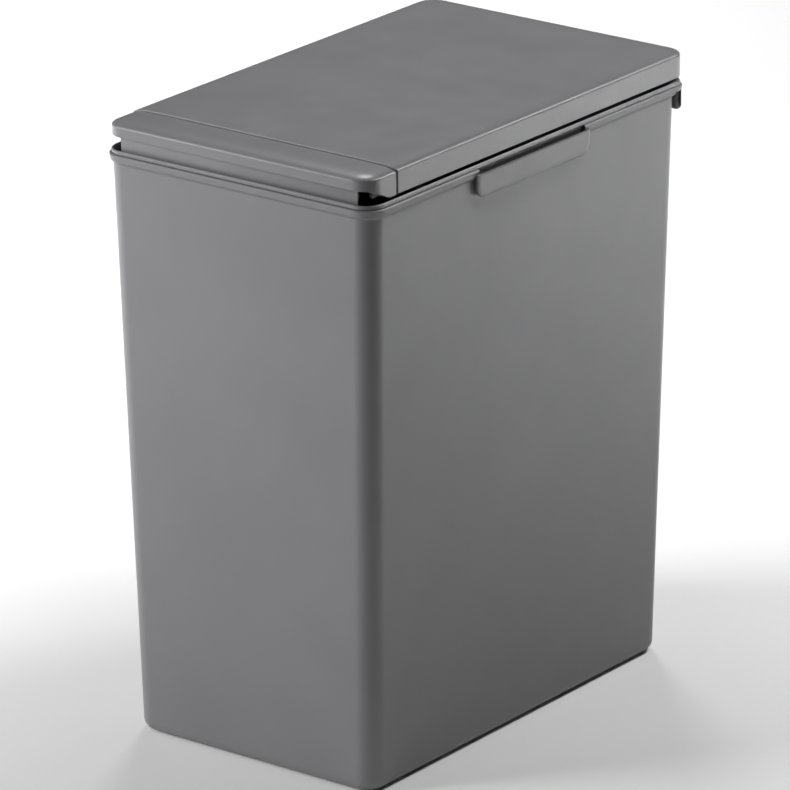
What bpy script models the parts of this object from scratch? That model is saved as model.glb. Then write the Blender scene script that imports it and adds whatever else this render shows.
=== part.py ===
# Touch trash can: a tapered bucket, a lift-off frame, a sprung lid and a touch bar.
# Metres, +Z up, origin at the centre of the base, the touch bar faces -Y.
import math

import bmesh
import bpy
from mathutils import Matrix

# Frame, the ring that closes the bucket and carries the lid
FRAME_WIDTH = 0.215
FRAME_DEPTH = 0.344
FRAME_CORNER = 0.0142
FRAME_TOP = 0.4004
FRAME_BAND = 0.0025
FRAME_EDGE = 0.0003
FRAME_LAND = 0.0011
FRAME_CHAMFER = 0.0012
SKIRT_WALL = 0.0018
SKIRT_SLOPE = 0.006
SKIRT_DEPTH = 0.022
DECK_LIP = 0.002

# Bucket
BASE_SIDE_INSET = 0.0102
BASE_FRONT_INSET = 0.0099
BASE_REAR_INSET = 0.0139
BUCKET_WALL = 0.0022
WALL_INSET = 0.0011
REAR_WALL_INSET = 0.0076
BASE_FILLET = 0.0075
BUCKET_CORNER = 0.0135
FOOT_WIDTH = 0.012
FOOT_HEIGHT = 0.003
BASE_WALL = 0.0025
INNER_FILLET = 0.004
RIM_SEAT_GAP = 0.0003
SEAT_HEIGHT = 0.0054
SEAT_EASE = 0.001
BAND_HEIGHT = 0.0048
BAND_OVERHANG = 0.0015
BAND_EDGE = 0.0006
BAND_COVE = 0.0015
CORNER_MIN = 0.002

# Side grips and the deep rear skirt
GRIP_PROUD = 0.0041
GRIP_FRONT = 0.064
GRIP_REAR = 0.058
GRIP_HEIGHT = 0.016
GRIP_WALL = 0.0018
GRIP_END_WALL = 0.004
GRIP_ROUND = 0.008
GRIP_END_ROUND = 0.002
GRIP_SLOT = 0.0028
GRIP_EDGE = 0.0008
REAR_SKIRT_INSET = 0.001
REAR_SKIRT_DEPTH = 0.0155
REAR_SKIRT_WALL = 0.002
REAR_SKIRT_ROUND = 0.01
REAR_SKIRT_STEP = 0.0001

# Lid
LID_SIDE_INSET = 0.0014
LID_FRONT_PROUD = 0.0004
LID_REAR_PROUD = 0.0015
LID_GAP = 0.002
LID_SKIRT = 0.0144
LID_WALL = 0.0022
LID_CORNER = 0.0138
ROLL_WIDTH = 0.020
ROLL_RISE = 0.0034
ROLL_POWER = 3
CROWN_RISE = 0.0015
BOSS_RADIUS = 0.0032
BOSS_SIDE_INSET = 0.0195
BOSS_FRONT_SETBACK = 0.0307
BOSS_MIDDLE = 0.018
BOSS_REAR_SETBACK = 0.0335

# Lid lining, the tray screwed under the lid
LINING_WALL = 0.0016
LINING_RISE = 0.0006
LINING_FLANGE = 0.004
LINING_GAP = 0.0005
LINING_REAR_GAP = 0.0043
BULKHEAD_SETBACK = 0.0065
BULKHEAD_HEIGHT = 0.013
SHELF_HALF = 0.060
SHELF_REACH = 0.0205

# Touch bar
BAR_DEPTH = 0.0297
BAR_STEP = 0.0008
SEAM_GAP = 0.0015
BAR_FACE = 0.0070
BAR_SIDE_DROP = 0.0004
BAR_RELIEF_FRONT = 0.0044
BAR_RELIEF_REAR = 0.0219
BAR_PIVOT_BEHIND = 0.0025
BAR_PIVOT_ABOVE = 0.0076
CARRIER_WALL = 0.002
CARRIER_DROP = 0.0033
CARRIER_SIDE_INSET = 0.0065
CARRIER_FRONT_GAP = 0.0035
CARRIER_DEPTH = 0.0206
CARRIER_SIDE_WALL = 0.0015
CARRIER_SIDE_HEIGHT = 0.010
CARRIER_SIDE_FRONT = 0.0054
CARRIER_SIDE_REAR = 0.0010
ARM_INSET = 0.0275
ARM_WIDTH = 0.006
ARM_RADIUS = 0.0028
ARM_OVERLAP = 0.004
EAR_WIDTH = 0.0037
EAR_RADIUS = 0.0032
PIVOT_PIN_RADIUS = 0.0015
BAR_BOSS_RADIUS = 0.0028
BAR_BOSS_INSET = 0.0175
BAR_BOSS_SHARES = (-1, -1 / 3, 1 / 3, 1)
BAR_BOSS_SETBACK = 0.0154

# Latch: the plate below the bar, the hook behind it and the catch on the frame
PLATE_INSET = 0.0127
PLATE_SETBACK = 0.0038
PLATE_WALL = 0.0016
PLATE_DIP = 0.0024
PLATE_FLANGE_WALL = 0.0013
PLATE_FLANGE = 0.0053
PLATE_SCREW_INSET = 0.0375
PLATE_SCREW_INNER = 0.025
NOTCH_SIDE_GAP = 0.002
NOTCH_FRONT_GAP = 0.001
NOTCH_DEPTH = 0.0066
HOOK_SETBACK = 0.0114
HOOK_WALL = 0.002
HOOK_HALF = 0.005
HOOK_LENGTH = 0.018
HOOK_NOSE = 0.0024
HOOK_NOSE_HEIGHT = 0.0022
HOOK_STOP = 0.0035
HOOK_STOP_HEIGHT = 0.0021
HOOK_FOOT_HALF = 0.010
HOOK_FOOT_WALL = 0.0015
HOOK_FOOT = 0.0125
HOOK_SCREW_SIDE = 0.0065
HOOK_SCREW_SETBACK = 0.008
CATCH_WALL = 0.0015
CATCH_HALF = 0.016
CATCH_HEIGHT = 0.012
CATCH_LIFT = 0.0015
CATCH_LEDGE_HALF = 0.008
CATCH_LEDGE = 0.0044
CATCH_LEDGE_WALL = 0.002
CATCH_LEDGE_ABOVE = 0.0004
CATCH_SCREW_SIDE = 0.012

# Bar return springs
RETURN_SIDE = 0.045
RETURN_SETBACK = 0.0184
RETURN_COIL = 0.0024
RETURN_WIRE = 0.0003
RETURN_TURNS = 5

# Lid hinge at the rear
HINGE_INSET = 0.0025
HINGE_HEIGHT = 0.0032
BARREL_RADIUS = 0.0024
HINGE_PIN_RADIUS = 0.0012
KNUCKLE_WIDTH = 0.006
HINGE_SIDE_INSET = 0.0575
LEAF_BARREL = 0.0112
SIDE_GAP = 0.0004
LEAF_WALL = 0.0016
LEAF_HEIGHT = 0.006
LEAF_REACH = 0.019
LEAF_SCREW_SETBACK = 0.013
NOTCH_HEIGHT = 0.0052
NOTCH_MARGIN = 0.0015
PIN_OUTER = 0.0085
LID_SPRING_START = 0.0012
LID_SPRING_WIDTH = 0.0052
LID_SPRING_COIL = 0.0021
LID_SPRING_WIRE = 0.0004
LID_SPRING_TURNS = 4
LID_SPRING_LEG = 0.0033

# Buffers that the closed lid rests on
BUFFER_RADIUS = 0.003
BUFFER_BACK = 0.059
BUFFER_INSET = 0.010
BUFFER_SEAT_BELOW = 0.0019
BUFFER_SEAT_WALL = 0.0035
BUFFER_SEAT_HALF = 0.005

# Screws
SCREW_HOLE_GAP = 0.0003
LINING_SCREW = (0.0013, 0.0032, 0.0012, 0.0095)
SMALL_SCREW = (0.0009, 0.0020, 0.0011, 0.0045)
BOSS_SCREW = (0.0011, 0.0024, 0.0012, 0.0055)

# Shared values
TOUCH_GAP = 0.0003
BORE_GAP = 0.0002
OVERRUN = 0.001
CORNER_STEPS = 6
ROUND_STEPS = 24
FILLET_STEPS = 4
COIL_STEPS = 14
ROLL_SHARES = (0.03, 0.08, 0.16, 0.28, 0.45, 0.68, 1.0)
CROWN_SHARES = (0.25, 0.5, 0.75, 0.96)

# Levels and outlines worked out from the sizes above
FRAME_HALF_X = FRAME_WIDTH / 2
FRAME_HALF_Y = FRAME_DEPTH / 2
FRAME_BOTTOM = FRAME_TOP - FRAME_BAND
RIM_TOP = FRAME_BOTTOM - RIM_SEAT_GAP
BAND_BOTTOM = RIM_TOP - BAND_HEIGHT
BUCKET_FLOOR = FOOT_HEIGHT + BASE_WALL
BASE_HALF_X = FRAME_HALF_X - BASE_SIDE_INSET
BASE_FRONT = FRAME_HALF_Y - BASE_FRONT_INSET
BASE_REAR = FRAME_HALF_Y - BASE_REAR_INSET
WALL_HALF_X = FRAME_HALF_X - WALL_INSET
WALL_FRONT = FRAME_HALF_Y - WALL_INSET
WALL_REAR = FRAME_HALF_Y - REAR_WALL_INSET
SKIRT_HALF_X = WALL_HALF_X - BUCKET_WALL - 3 * TOUCH_GAP
SKIRT_FRONT = WALL_FRONT - BUCKET_WALL - 3 * TOUCH_GAP
SKIRT_REAR = WALL_REAR - BUCKET_WALL - 3 * TOUCH_GAP
SKIRT_BOTTOM = FRAME_TOP - SKIRT_DEPTH
REAR_SKIRT_HALF = FRAME_HALF_X - REAR_SKIRT_INSET
LID_HALF_X = FRAME_HALF_X - LID_SIDE_INSET
LID_FRONT = FRAME_HALF_Y + LID_FRONT_PROUD
LID_REAR = FRAME_HALF_Y + LID_REAR_PROUD
LID_BOTTOM = FRAME_TOP + LID_GAP
LID_EDGE = LID_BOTTOM + LID_SKIRT
BAR_EDGE = LID_EDGE - BAR_STEP
BOSS_TOP = LID_EDGE + ROLL_RISE - LID_WALL / 2
SEAM_Y = -LID_FRONT + BAR_DEPTH
BOSS_SIDE = FRAME_HALF_X - BOSS_SIDE_INSET
BOSS_ROWS = (SEAM_Y + BOSS_FRONT_SETBACK, BOSS_MIDDLE, LID_REAR - BOSS_REAR_SETBACK)
LINING_BOTTOM = LID_BOTTOM + LINING_RISE
LINING_TOP = LINING_BOTTOM + LINING_WALL
BULKHEAD_Y = SEAM_Y + BULKHEAD_SETBACK
PIVOT_Y = SEAM_Y + BAR_PIVOT_BEHIND
PIVOT_Z = LID_BOTTOM + BAR_PIVOT_ABOVE
ARM_SIDE = FRAME_HALF_X - ARM_INSET
BAR_BOSS_SIDE = FRAME_HALF_X - BAR_BOSS_INSET
CARRIER_TOP = LID_EDGE - CARRIER_DROP
CARRIER_BOTTOM = CARRIER_TOP - CARRIER_WALL
CARRIER_HALF = FRAME_HALF_X - CARRIER_SIDE_INSET
CARRIER_FRONT = -LID_FRONT + LID_WALL + CARRIER_FRONT_GAP
CARRIER_REAR = CARRIER_FRONT + CARRIER_DEPTH
PLATE_HALF = FRAME_HALF_X - PLATE_INSET
PLATE_SCREW_SIDE = FRAME_HALF_X - PLATE_SCREW_INSET
PLATE_Y = -LID_FRONT + PLATE_SETBACK
PLATE_BOTTOM = FRAME_TOP - PLATE_DIP
FLANGE_TOP = CARRIER_BOTTOM - TOUCH_GAP
HOOK_Y = -LID_FRONT + HOOK_SETBACK
HOOK_BOTTOM = FRAME_TOP - HOOK_LENGTH
NOSE_TOP = HOOK_BOTTOM + HOOK_NOSE_HEIGHT
NOTCH_BOTTOM = FRAME_TOP - NOTCH_DEPTH
HINGE_Y = LID_REAR - HINGE_INSET
HINGE_Z = FRAME_TOP + HINGE_HEIGHT
STATION_INNER = FRAME_HALF_X - HINGE_SIDE_INSET
LEAF_START = STATION_INNER + KNUCKLE_WIDTH + SIDE_GAP
OUTER_KNUCKLE = LEAF_START + LEAF_BARREL + SIDE_GAP
STATION_OUTER = OUTER_KNUCKLE + KNUCKLE_WIDTH
PIN_END = STATION_OUTER + PIN_OUTER
LEAF_TOP = HINGE_Z + LEAF_HEIGHT
LEAF_BOTTOM = LEAF_TOP - LEAF_WALL
SIDES = (("left", -1), ("right", 1))

# What each moving body carries, by the starts of the names; the bucket stands by itself
BAR_PIECES = ("touch_bar", "bar_carrier", "bar_screw", "latch_", "plate_screw", "hook_screw")
LID_PIECES = (
    "lid_shell",
    "lid_lining",
    "lid_hinge_leaf",
    "lid_spring",
    "lining_screw",
    "hinge_screw",
    "bar_pivot_pin",
    "bar_spring",
    "bar_axis",
)
FRAME_PIECES = ("upper_frame", "catch_", "hinge_pin", "lid_buffer", "lid_axis")


def material(name, colour, roughness, metallic=0.0):
    # One plain finish, shared by the pieces of one kind
    finish = bpy.data.materials.new(name)
    finish.use_nodes = True
    shader = finish.node_tree.nodes["Principled BSDF"]
    shader.inputs["Base Color"].default_value = (*colour, 1.0)
    shader.inputs["Roughness"].default_value = roughness
    shader.inputs["Metallic"].default_value = metallic
    return finish


def outline(half_x, front, rear, radius):
    # Rounded rectangle, anticlockwise from the front right corner
    centres = (
        (half_x - radius, -front + radius, -90),
        (half_x - radius, rear - radius, 0),
        (-half_x + radius, rear - radius, 90),
        (-half_x + radius, -front + radius, 180),
    )
    points = []
    for x, y, start in centres:
        for step in range(CORNER_STEPS + 1):
            angle = math.radians(start + 90 * step / CORNER_STEPS)
            points.append((x + radius * math.cos(angle), y + radius * math.sin(angle)))
    return points


def section(half_x, front, rear, radius, z, crown=None):
    # One closed loop of 3-D points at height z, lifted by the crown
    loop = []
    for x, y in outline(half_x, front, rear, max(radius, CORNER_MIN)):
        lift = crown(x, y) if crown else 0
        loop.append((x, y, z + lift))
    return loop


def add_object(name, mesh_data, finish):
    # A named object with its finish, round parts shaded smooth
    mesh = bpy.data.meshes.new(name)
    bmesh.ops.recalc_face_normals(mesh_data, faces=mesh_data.faces)
    mesh_data.to_mesh(mesh)
    mesh_data.free()
    mesh.shade_smooth()
    mesh.set_sharp_from_angle(angle=math.radians(30))
    if finish:
        mesh.materials.append(finish)
    thing = bpy.data.objects.new(name, mesh)
    bpy.context.scene.collection.objects.link(thing)
    return thing


def loft(name, loops, finish, ring=False):
    # Skin between loops; a ring closes on itself, otherwise both ends are capped
    data = bmesh.new()
    rows = [[data.verts.new(point) for point in loop] for loop in loops]
    count = len(loops[0])
    pairs = list(zip(rows, rows[1:]))
    if ring:
        pairs.append((rows[-1], rows[0]))
    for low, high in pairs:
        for i in range(count):
            j = (i + 1) % count
            data.faces.new((low[i], low[j], high[j], high[i]))
    if not ring:
        caps = [data.faces.new(rows[0]), data.faces.new(rows[-1])]
        bmesh.ops.triangulate(data, faces=caps)
    return add_object(name, data, finish)


def prism(name, points, low, high, finish, axis):
    # Extrusion of a flat outline along one axis; the outline is in the other two, in order
    def place(u, v, w):
        if axis == "x":
            return (w, u, v)
        if axis == "y":
            return (u, w, v)
        return (u, v, w)

    data = bmesh.new()
    first = [data.verts.new(place(u, v, low)) for u, v in points]
    last = [data.verts.new(place(u, v, high)) for u, v in points]
    count = len(points)
    for i in range(count):
        j = (i + 1) % count
        data.faces.new((first[i], first[j], last[j], last[i]))
    data.faces.new(first)
    data.faces.new(last)
    return add_object(name, data, finish)


def block(name, low, high, finish=None):
    # Box between two corners
    points = [(low[0], low[1]), (high[0], low[1]), (high[0], high[1]), (low[0], high[1])]
    return prism(name, points, low[2], high[2], finish, "z")


def circle(u, v, radius, steps=ROUND_STEPS):
    return [
        (
            u + radius * math.cos(2 * math.pi * i / steps),
            v + radius * math.sin(2 * math.pi * i / steps),
        )
        for i in range(steps)
    ]


def rounded_bottom(low_u, high_u, low_v, high_v, radius):
    # Outline with two round lower corners and square upper ones
    points = [(high_u, high_v), (low_u, high_v)]
    for centre, start in ((low_u + radius, 180), (high_u - radius, 270)):
        for step in range(CORNER_STEPS + 1):
            angle = math.radians(start + 90 * step / CORNER_STEPS)
            points.append(
                (centre + radius * math.cos(angle), low_v + radius + radius * math.sin(angle))
            )
    return points


def combine(target, tool, operation):
    # Boolean with a guide object that is left out of the model
    change = target.modifiers.new(tool.name, "BOOLEAN")
    change.operation = operation
    change.solver = "EXACT"
    change.object = tool
    tool.hide_render = True
    tool.display_type = "WIRE"


def cut(target, tool):
    combine(target, tool, "DIFFERENCE")


def join(target, tool):
    combine(target, tool, "UNION")


def screws(name, places, size, finish, direction="up"):
    # Alike screws, each a pan head and a shank that points up or to the front
    shank, head, head_height, length = size
    profile = ((head, -head_height), (head, 0), (shank, 0), (shank, length))
    steps = ROUND_STEPS // 2
    for number, place in enumerate(places):
        loops = []
        for radius, along in profile:
            loop = []
            for u, v in circle(0, 0, radius, steps):
                if direction == "up":
                    loop.append((place[0] + u, place[1] + v, place[2] + along))
                else:
                    loop.append((place[0] + u, place[1] - along, place[2] + v))
            loops.append(loop)
        loft(name + "_" + str(number + 1), loops, finish)


def drill(target, name, places, size, depth_low, depth_high, direction="up"):
    # Clearance holes for a group of screws
    data = bmesh.new()
    radius = size[0] + SCREW_HOLE_GAP
    for place in places:
        ring_low = []
        ring_high = []
        for u, v in circle(0, 0, radius, ROUND_STEPS // 2):
            if direction == "up":
                ring_low.append(data.verts.new((place[0] + u, place[1] + v, depth_low)))
                ring_high.append(data.verts.new((place[0] + u, place[1] + v, depth_high)))
            else:
                ring_low.append(data.verts.new((place[0] + u, depth_low, place[2] + v)))
                ring_high.append(data.verts.new((place[0] + u, depth_high, place[2] + v)))
        count = len(ring_low)
        for i in range(count):
            j = (i + 1) % count
            data.faces.new((ring_low[i], ring_low[j], ring_high[j], ring_high[i]))
        data.faces.new(ring_low)
        data.faces.new(ring_high)
    cut(target, add_object(name, data, None))


def wire(name, points, radius, finish):
    # Round wire along a route
    curve = bpy.data.curves.new(name, "CURVE")
    curve.dimensions = "3D"
    curve.bevel_depth = radius
    curve.bevel_resolution = 1
    curve.use_fill_caps = True
    line = curve.splines.new("POLY")
    line.points.add(len(points) - 1)
    for target, point in zip(line.points, points):
        target.co = (*point, 1)
    curve.materials.append(finish)
    thing = bpy.data.objects.new(name, curve)
    bpy.context.scene.collection.objects.link(thing)
    return thing


def bucket_wall(z, inset=0.0):
    # Half width, front and rear of the tapered wall at one height
    share = z / BAND_BOTTOM
    half_x = BASE_HALF_X + (WALL_HALF_X - BASE_HALF_X) * share
    front = BASE_FRONT + (WALL_FRONT - BASE_FRONT) * share
    rear = BASE_REAR + (WALL_REAR - BASE_REAR) * share
    return half_x - inset, front - inset, rear - inset, BUCKET_CORNER - inset


def frame_line(inset=0.0):
    # Outer line of the frame, which the rim and the lid follow
    return (
        FRAME_HALF_X - inset,
        FRAME_HALF_Y - inset,
        FRAME_HALF_Y - inset,
        FRAME_CORNER - inset,
    )


def make_bucket(finish):
    loops = [
        section(*bucket_wall(0, BASE_FILLET + FOOT_WIDTH + FOOT_HEIGHT), FOOT_HEIGHT),
        section(*bucket_wall(0, BASE_FILLET + FOOT_WIDTH), 0),
    ]
    for step in range(FILLET_STEPS + 1):
        angle = math.pi / 2 * step / FILLET_STEPS
        inset = BASE_FILLET * (1 - math.sin(angle))
        z = BASE_FILLET * (1 - math.cos(angle))
        loops.append(section(*bucket_wall(z, inset), z))
    loops.append(section(*bucket_wall(BAND_BOTTOM), BAND_BOTTOM - BAND_COVE))
    loops.append(section(*frame_line(-BAND_OVERHANG), BAND_BOTTOM))
    loops.append(section(*frame_line(-BAND_OVERHANG), RIM_TOP - BAND_EDGE))
    loops.append(section(*frame_line(BAND_EDGE - BAND_OVERHANG), RIM_TOP))
    loops.append(section(*bucket_wall(RIM_TOP), RIM_TOP))
    z = RIM_TOP - SEAT_HEIGHT
    loops.append(section(*bucket_wall(z, BUCKET_WALL), z))
    z = BUCKET_FLOOR + INNER_FILLET
    loops.append(section(*bucket_wall(z, BUCKET_WALL), z))
    loops.append(section(*bucket_wall(BUCKET_FLOOR, BUCKET_WALL + INNER_FILLET), BUCKET_FLOOR))
    bucket = loft("bucket", loops, finish)
    add_rear_skirt(bucket)
    for name, side in SIDES:
        add_grip(bucket, name, side)
    return bucket


def add_rear_skirt(bucket):
    # Deep skirt below the rear rim, wrapping a little way round the corners
    top = BAND_BOTTOM + BAND_HEIGHT / 2
    bottom = BAND_BOTTOM - REAR_SKIRT_DEPTH
    outer = frame_line(REAR_SKIRT_STEP - BAND_OVERHANG)
    inner = frame_line(REAR_SKIRT_WALL - BAND_OVERHANG)
    loops = [section(*outer, bottom), section(*outer, top), section(*inner, top), section(*inner, bottom)]
    skirt = loft("rear_skirt_guide", loops, None, ring=True)
    shape = rounded_bottom(-REAR_SKIRT_HALF, REAR_SKIRT_HALF, bottom, top + OVERRUN, REAR_SKIRT_ROUND)
    window = prism("rear_skirt_window", shape, 0, FRAME_DEPTH, None, "y")
    combine(skirt, window, "INTERSECT")
    join(bucket, skirt)


def add_grip(bucket, name, side):
    # Shallow pouch standing proud of the side wall, open at the top below the frame
    face = WALL_HALF_X + GRIP_PROUD
    top = BAND_BOTTOM + GRIP_WALL
    bottom = top - GRIP_HEIGHT
    shape = rounded_bottom(-GRIP_FRONT, GRIP_REAR, bottom, top, GRIP_ROUND)
    root = WALL_HALF_X - BUCKET_WALL / 2
    low, high = sorted((side * root, side * face))
    pouch = prism("grip_guide_" + name, shape, low, high, None, "x")
    plan = rounded_bottom(-GRIP_FRONT, GRIP_REAR, -face, -root, GRIP_END_ROUND)
    points = [(-side * v, u) for u, v in plan]
    ends = prism("grip_plan_" + name, points, bottom - OVERRUN, top + OVERRUN, None, "z")
    combine(pouch, ends, "INTERSECT")
    edge = pouch.modifiers.new("edge", "BEVEL")
    edge.width = GRIP_EDGE
    edge.segments = 2
    join(bucket, pouch)
    slot_shape = rounded_bottom(
        -GRIP_FRONT + GRIP_END_WALL,
        GRIP_REAR - GRIP_END_WALL,
        bottom + GRIP_WALL,
        top + TOUCH_GAP,
        GRIP_ROUND - GRIP_END_WALL,
    )
    pocket_root = face - GRIP_WALL - GRIP_SLOT
    low, high = sorted((side * pocket_root, side * (face - GRIP_WALL)))
    cut(bucket, prism("grip_pocket_" + name, slot_shape, low, high, None, "x"))
    low, high = sorted((side * (pocket_root + BORE_GAP), side * (face + OVERRUN)))
    start = (low, -GRIP_FRONT + GRIP_END_WALL - TOUCH_GAP, top - TOUCH_GAP)
    end = (high, GRIP_REAR - GRIP_END_WALL + TOUCH_GAP, RIM_TOP + OVERRUN)
    cut(bucket, block("grip_slot_" + name, start, end))


def make_frame(finish):
    top_line = (
        FRAME_HALF_X - FRAME_EDGE - FRAME_LAND,
        FRAME_HALF_Y - FRAME_EDGE - FRAME_LAND,
        SKIRT_REAR + DECK_LIP,
        FRAME_CORNER - FRAME_EDGE - FRAME_LAND,
    )
    chamfer_line = (
        top_line[0] - FRAME_CHAMFER,
        top_line[1] - FRAME_CHAMFER,
        top_line[2] - FRAME_CHAMFER,
        top_line[3] - FRAME_CHAMFER,
    )
    skirt_line = (SKIRT_HALF_X, SKIRT_FRONT, SKIRT_REAR, BUCKET_CORNER - BUCKET_WALL)
    inner_line = tuple(value - SKIRT_WALL for value in skirt_line)
    loops = [
        section(*frame_line(), FRAME_BOTTOM),
        section(*frame_line(), FRAME_TOP - FRAME_EDGE),
        section(*frame_line(FRAME_EDGE), FRAME_TOP),
        section(*top_line, FRAME_TOP),
        section(*chamfer_line, FRAME_TOP - FRAME_CHAMFER),
        section(*inner_line, FRAME_TOP - FRAME_CHAMFER - SKIRT_SLOPE),
        section(*inner_line, SKIRT_BOTTOM),
        section(*skirt_line, SKIRT_BOTTOM),
        section(*skirt_line, FRAME_BOTTOM - SEAT_HEIGHT - SEAT_EASE),
        section(*bucket_wall(RIM_TOP, TOUCH_GAP), FRAME_BOTTOM),
    ]
    frame = loft("upper_frame", loops, finish, ring=True)
    add_knuckles(frame)
    add_buffer_seats(frame)
    half = PLATE_HALF + NOTCH_SIDE_GAP
    start = (-half, PLATE_Y - NOTCH_FRONT_GAP, NOTCH_BOTTOM)
    end = (half, HOOK_Y, FRAME_TOP + OVERRUN)
    cut(frame, block("plate_notch", start, end))
    places = catch_screw_places()
    drill(frame, "catch_holes_frame", places, SMALL_SCREW, -FRAME_HALF_Y, HOOK_Y, "front")
    return frame


def add_knuckles(frame):
    # Two pairs of hinge knuckles on the rear deck, bored for the pins
    for name, side in SIDES:
        for number, start in enumerate((STATION_INNER, OUTER_KNUCKLE)):
            low, high = sorted((side * start, side * (start + KNUCKLE_WIDTH)))
            tag = name + "_" + str(number)
            barrel = circle(HINGE_Y, HINGE_Z, BARREL_RADIUS)
            join(frame, prism("knuckle_" + tag, barrel, low, high, None, "x"))
            half = BARREL_RADIUS - FRAME_EDGE
            web_low = (low, HINGE_Y - half, FRAME_TOP - FRAME_CHAMFER)
            web_high = (high, HINGE_Y + half, HINGE_Z)
            join(frame, block("knuckle_web_" + tag, web_low, web_high))
        bore = circle(HINGE_Y, HINGE_Z, HINGE_PIN_RADIUS + BORE_GAP)
        low, high = sorted((side * (STATION_INNER - OVERRUN), side * (STATION_OUTER + OVERRUN)))
        cut(frame, prism("knuckle_bore_" + name, bore, low, high, None, "x"))


def buffer_place(side):
    return side * (SKIRT_HALF_X - SKIRT_WALL - BUFFER_INSET / 2), -FRAME_HALF_Y + BUFFER_BACK


def add_buffer_seats(frame):
    # Small ledges on the inner wall that hold the lid buffers
    for name, side in SIDES:
        x, y = buffer_place(side)
        root = side * (SKIRT_HALF_X + 3 * TOUCH_GAP)
        tip = side * (SKIRT_HALF_X - SKIRT_WALL - BUFFER_INSET)
        low, high = sorted((root, tip))
        seat_top = FRAME_TOP - BUFFER_SEAT_BELOW
        start = (low, y - BUFFER_SEAT_HALF, seat_top - BUFFER_SEAT_WALL)
        end = (high, y + BUFFER_SEAT_HALF, seat_top)
        join(frame, block("buffer_seat_" + name, start, end))


def make_buffers(finish):
    for name, side in SIDES:
        x, y = buffer_place(side)
        low = FRAME_TOP - BUFFER_SEAT_BELOW + TOUCH_GAP
        high = LINING_BOTTOM - TOUCH_GAP
        prism("lid_buffer_" + name, circle(x, y, BUFFER_RADIUS), low, high, finish, "z")


def lid_line(inset):
    return LID_HALF_X - inset, LID_FRONT - inset, LID_REAR - inset, LID_CORNER - inset


def crown(x, y):
    # Broad arch over the lid, zero along its edge
    centre = (LID_REAR - LID_FRONT) / 2
    half_y = (LID_REAR + LID_FRONT) / 2
    across = 1 - (x / LID_HALF_X) ** 2
    along = 1 - ((y - centre) / half_y) ** 2
    return CROWN_RISE * max(across, 0) * max(along, 0)


def roll(inset):
    # Height of the rolled edge above the crisp edge at a distance in from it
    share = min(inset / ROLL_WIDTH, 1)
    return ROLL_RISE * math.sqrt(1 - (1 - share) ** ROLL_POWER)


def lid_insets(first):
    # Distances in from the edge, close together over the rolled edge
    insets = [first + (ROLL_WIDTH - first) * share for share in ROLL_SHARES]
    flat = LID_HALF_X - ROLL_WIDTH
    insets += [ROLL_WIDTH + flat * share for share in CROWN_SHARES]
    return insets


def lid_blank(name, edge, finish):
    # The crowned shell that the lid and, a little lower, the bar are cut from
    outer = [section(*lid_line(0), LID_BOTTOM), section(*lid_line(0), edge)]
    for inset in lid_insets(0):
        outer.append(section(*lid_line(inset), edge + roll(inset), crown))
    inner = [
        section(*lid_line(LID_WALL), LID_BOTTOM),
        section(*lid_line(LID_WALL), edge + roll(LID_WALL) - LID_WALL),
    ]
    for inset in lid_insets(LID_WALL):
        inner.append(section(*lid_line(inset), edge + roll(inset) - LID_WALL, crown))
    return loft(name, outer[::-1] + inner, finish)


def boss_places():
    return [(side * BOSS_SIDE, y, LINING_BOTTOM - TOUCH_GAP) for _, side in SIDES for y in BOSS_ROWS]


def leaf_screw_places():
    places = []
    for _, side in SIDES:
        for x in (STATION_INNER + BOSS_RADIUS * 2, STATION_OUTER):
            places.append((side * x, HINGE_Y - LEAF_SCREW_SETBACK, LEAF_BOTTOM - TOUCH_GAP))
    return places


def make_lid(finish):
    lid = lid_blank("lid_shell", LID_EDGE, finish)
    wide = FRAME_WIDTH
    start = (-wide, -FRAME_DEPTH, LID_BOTTOM - LID_SKIRT)
    end = (wide, SEAM_Y + SEAM_GAP / 2, LID_EDGE + LID_SKIRT)
    cut(lid, block("lid_seam", start, end))
    for name, side in SIDES:
        low, high = sorted((side * (STATION_INNER - NOTCH_MARGIN), side * (PIN_END + NOTCH_MARGIN)))
        start = (low, LID_REAR - 2 * LID_WALL, LID_BOTTOM - OVERRUN)
        end = (high, LID_REAR + OVERRUN, LID_BOTTOM + NOTCH_HEIGHT)
        cut(lid, block("hinge_notch_" + name, start, end))
    for number, (x, y, _) in enumerate(boss_places()):
        shape = circle(x, y, BOSS_RADIUS, ROUND_STEPS // 2)
        low = LINING_TOP + TOUCH_GAP
        join(lid, prism("lid_boss_" + str(number), shape, low, BOSS_TOP, None, "z"))
    for number, (x, y, _) in enumerate(leaf_screw_places()):
        shape = circle(x, y, BAR_BOSS_RADIUS, ROUND_STEPS // 2)
        low = LEAF_TOP + TOUCH_GAP
        join(lid, prism("leaf_boss_" + str(number), shape, low, BOSS_TOP, None, "z"))
    low = LINING_BOTTOM
    high = LINING_BOTTOM + LINING_SCREW[3] + OVERRUN
    drill(lid, "lid_boss_holes", boss_places(), LINING_SCREW, low, high)
    high = LEAF_BOTTOM + BOSS_SCREW[3] + OVERRUN
    drill(lid, "leaf_boss_holes", leaf_screw_places(), BOSS_SCREW, LEAF_BOTTOM, high)
    return lid


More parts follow.
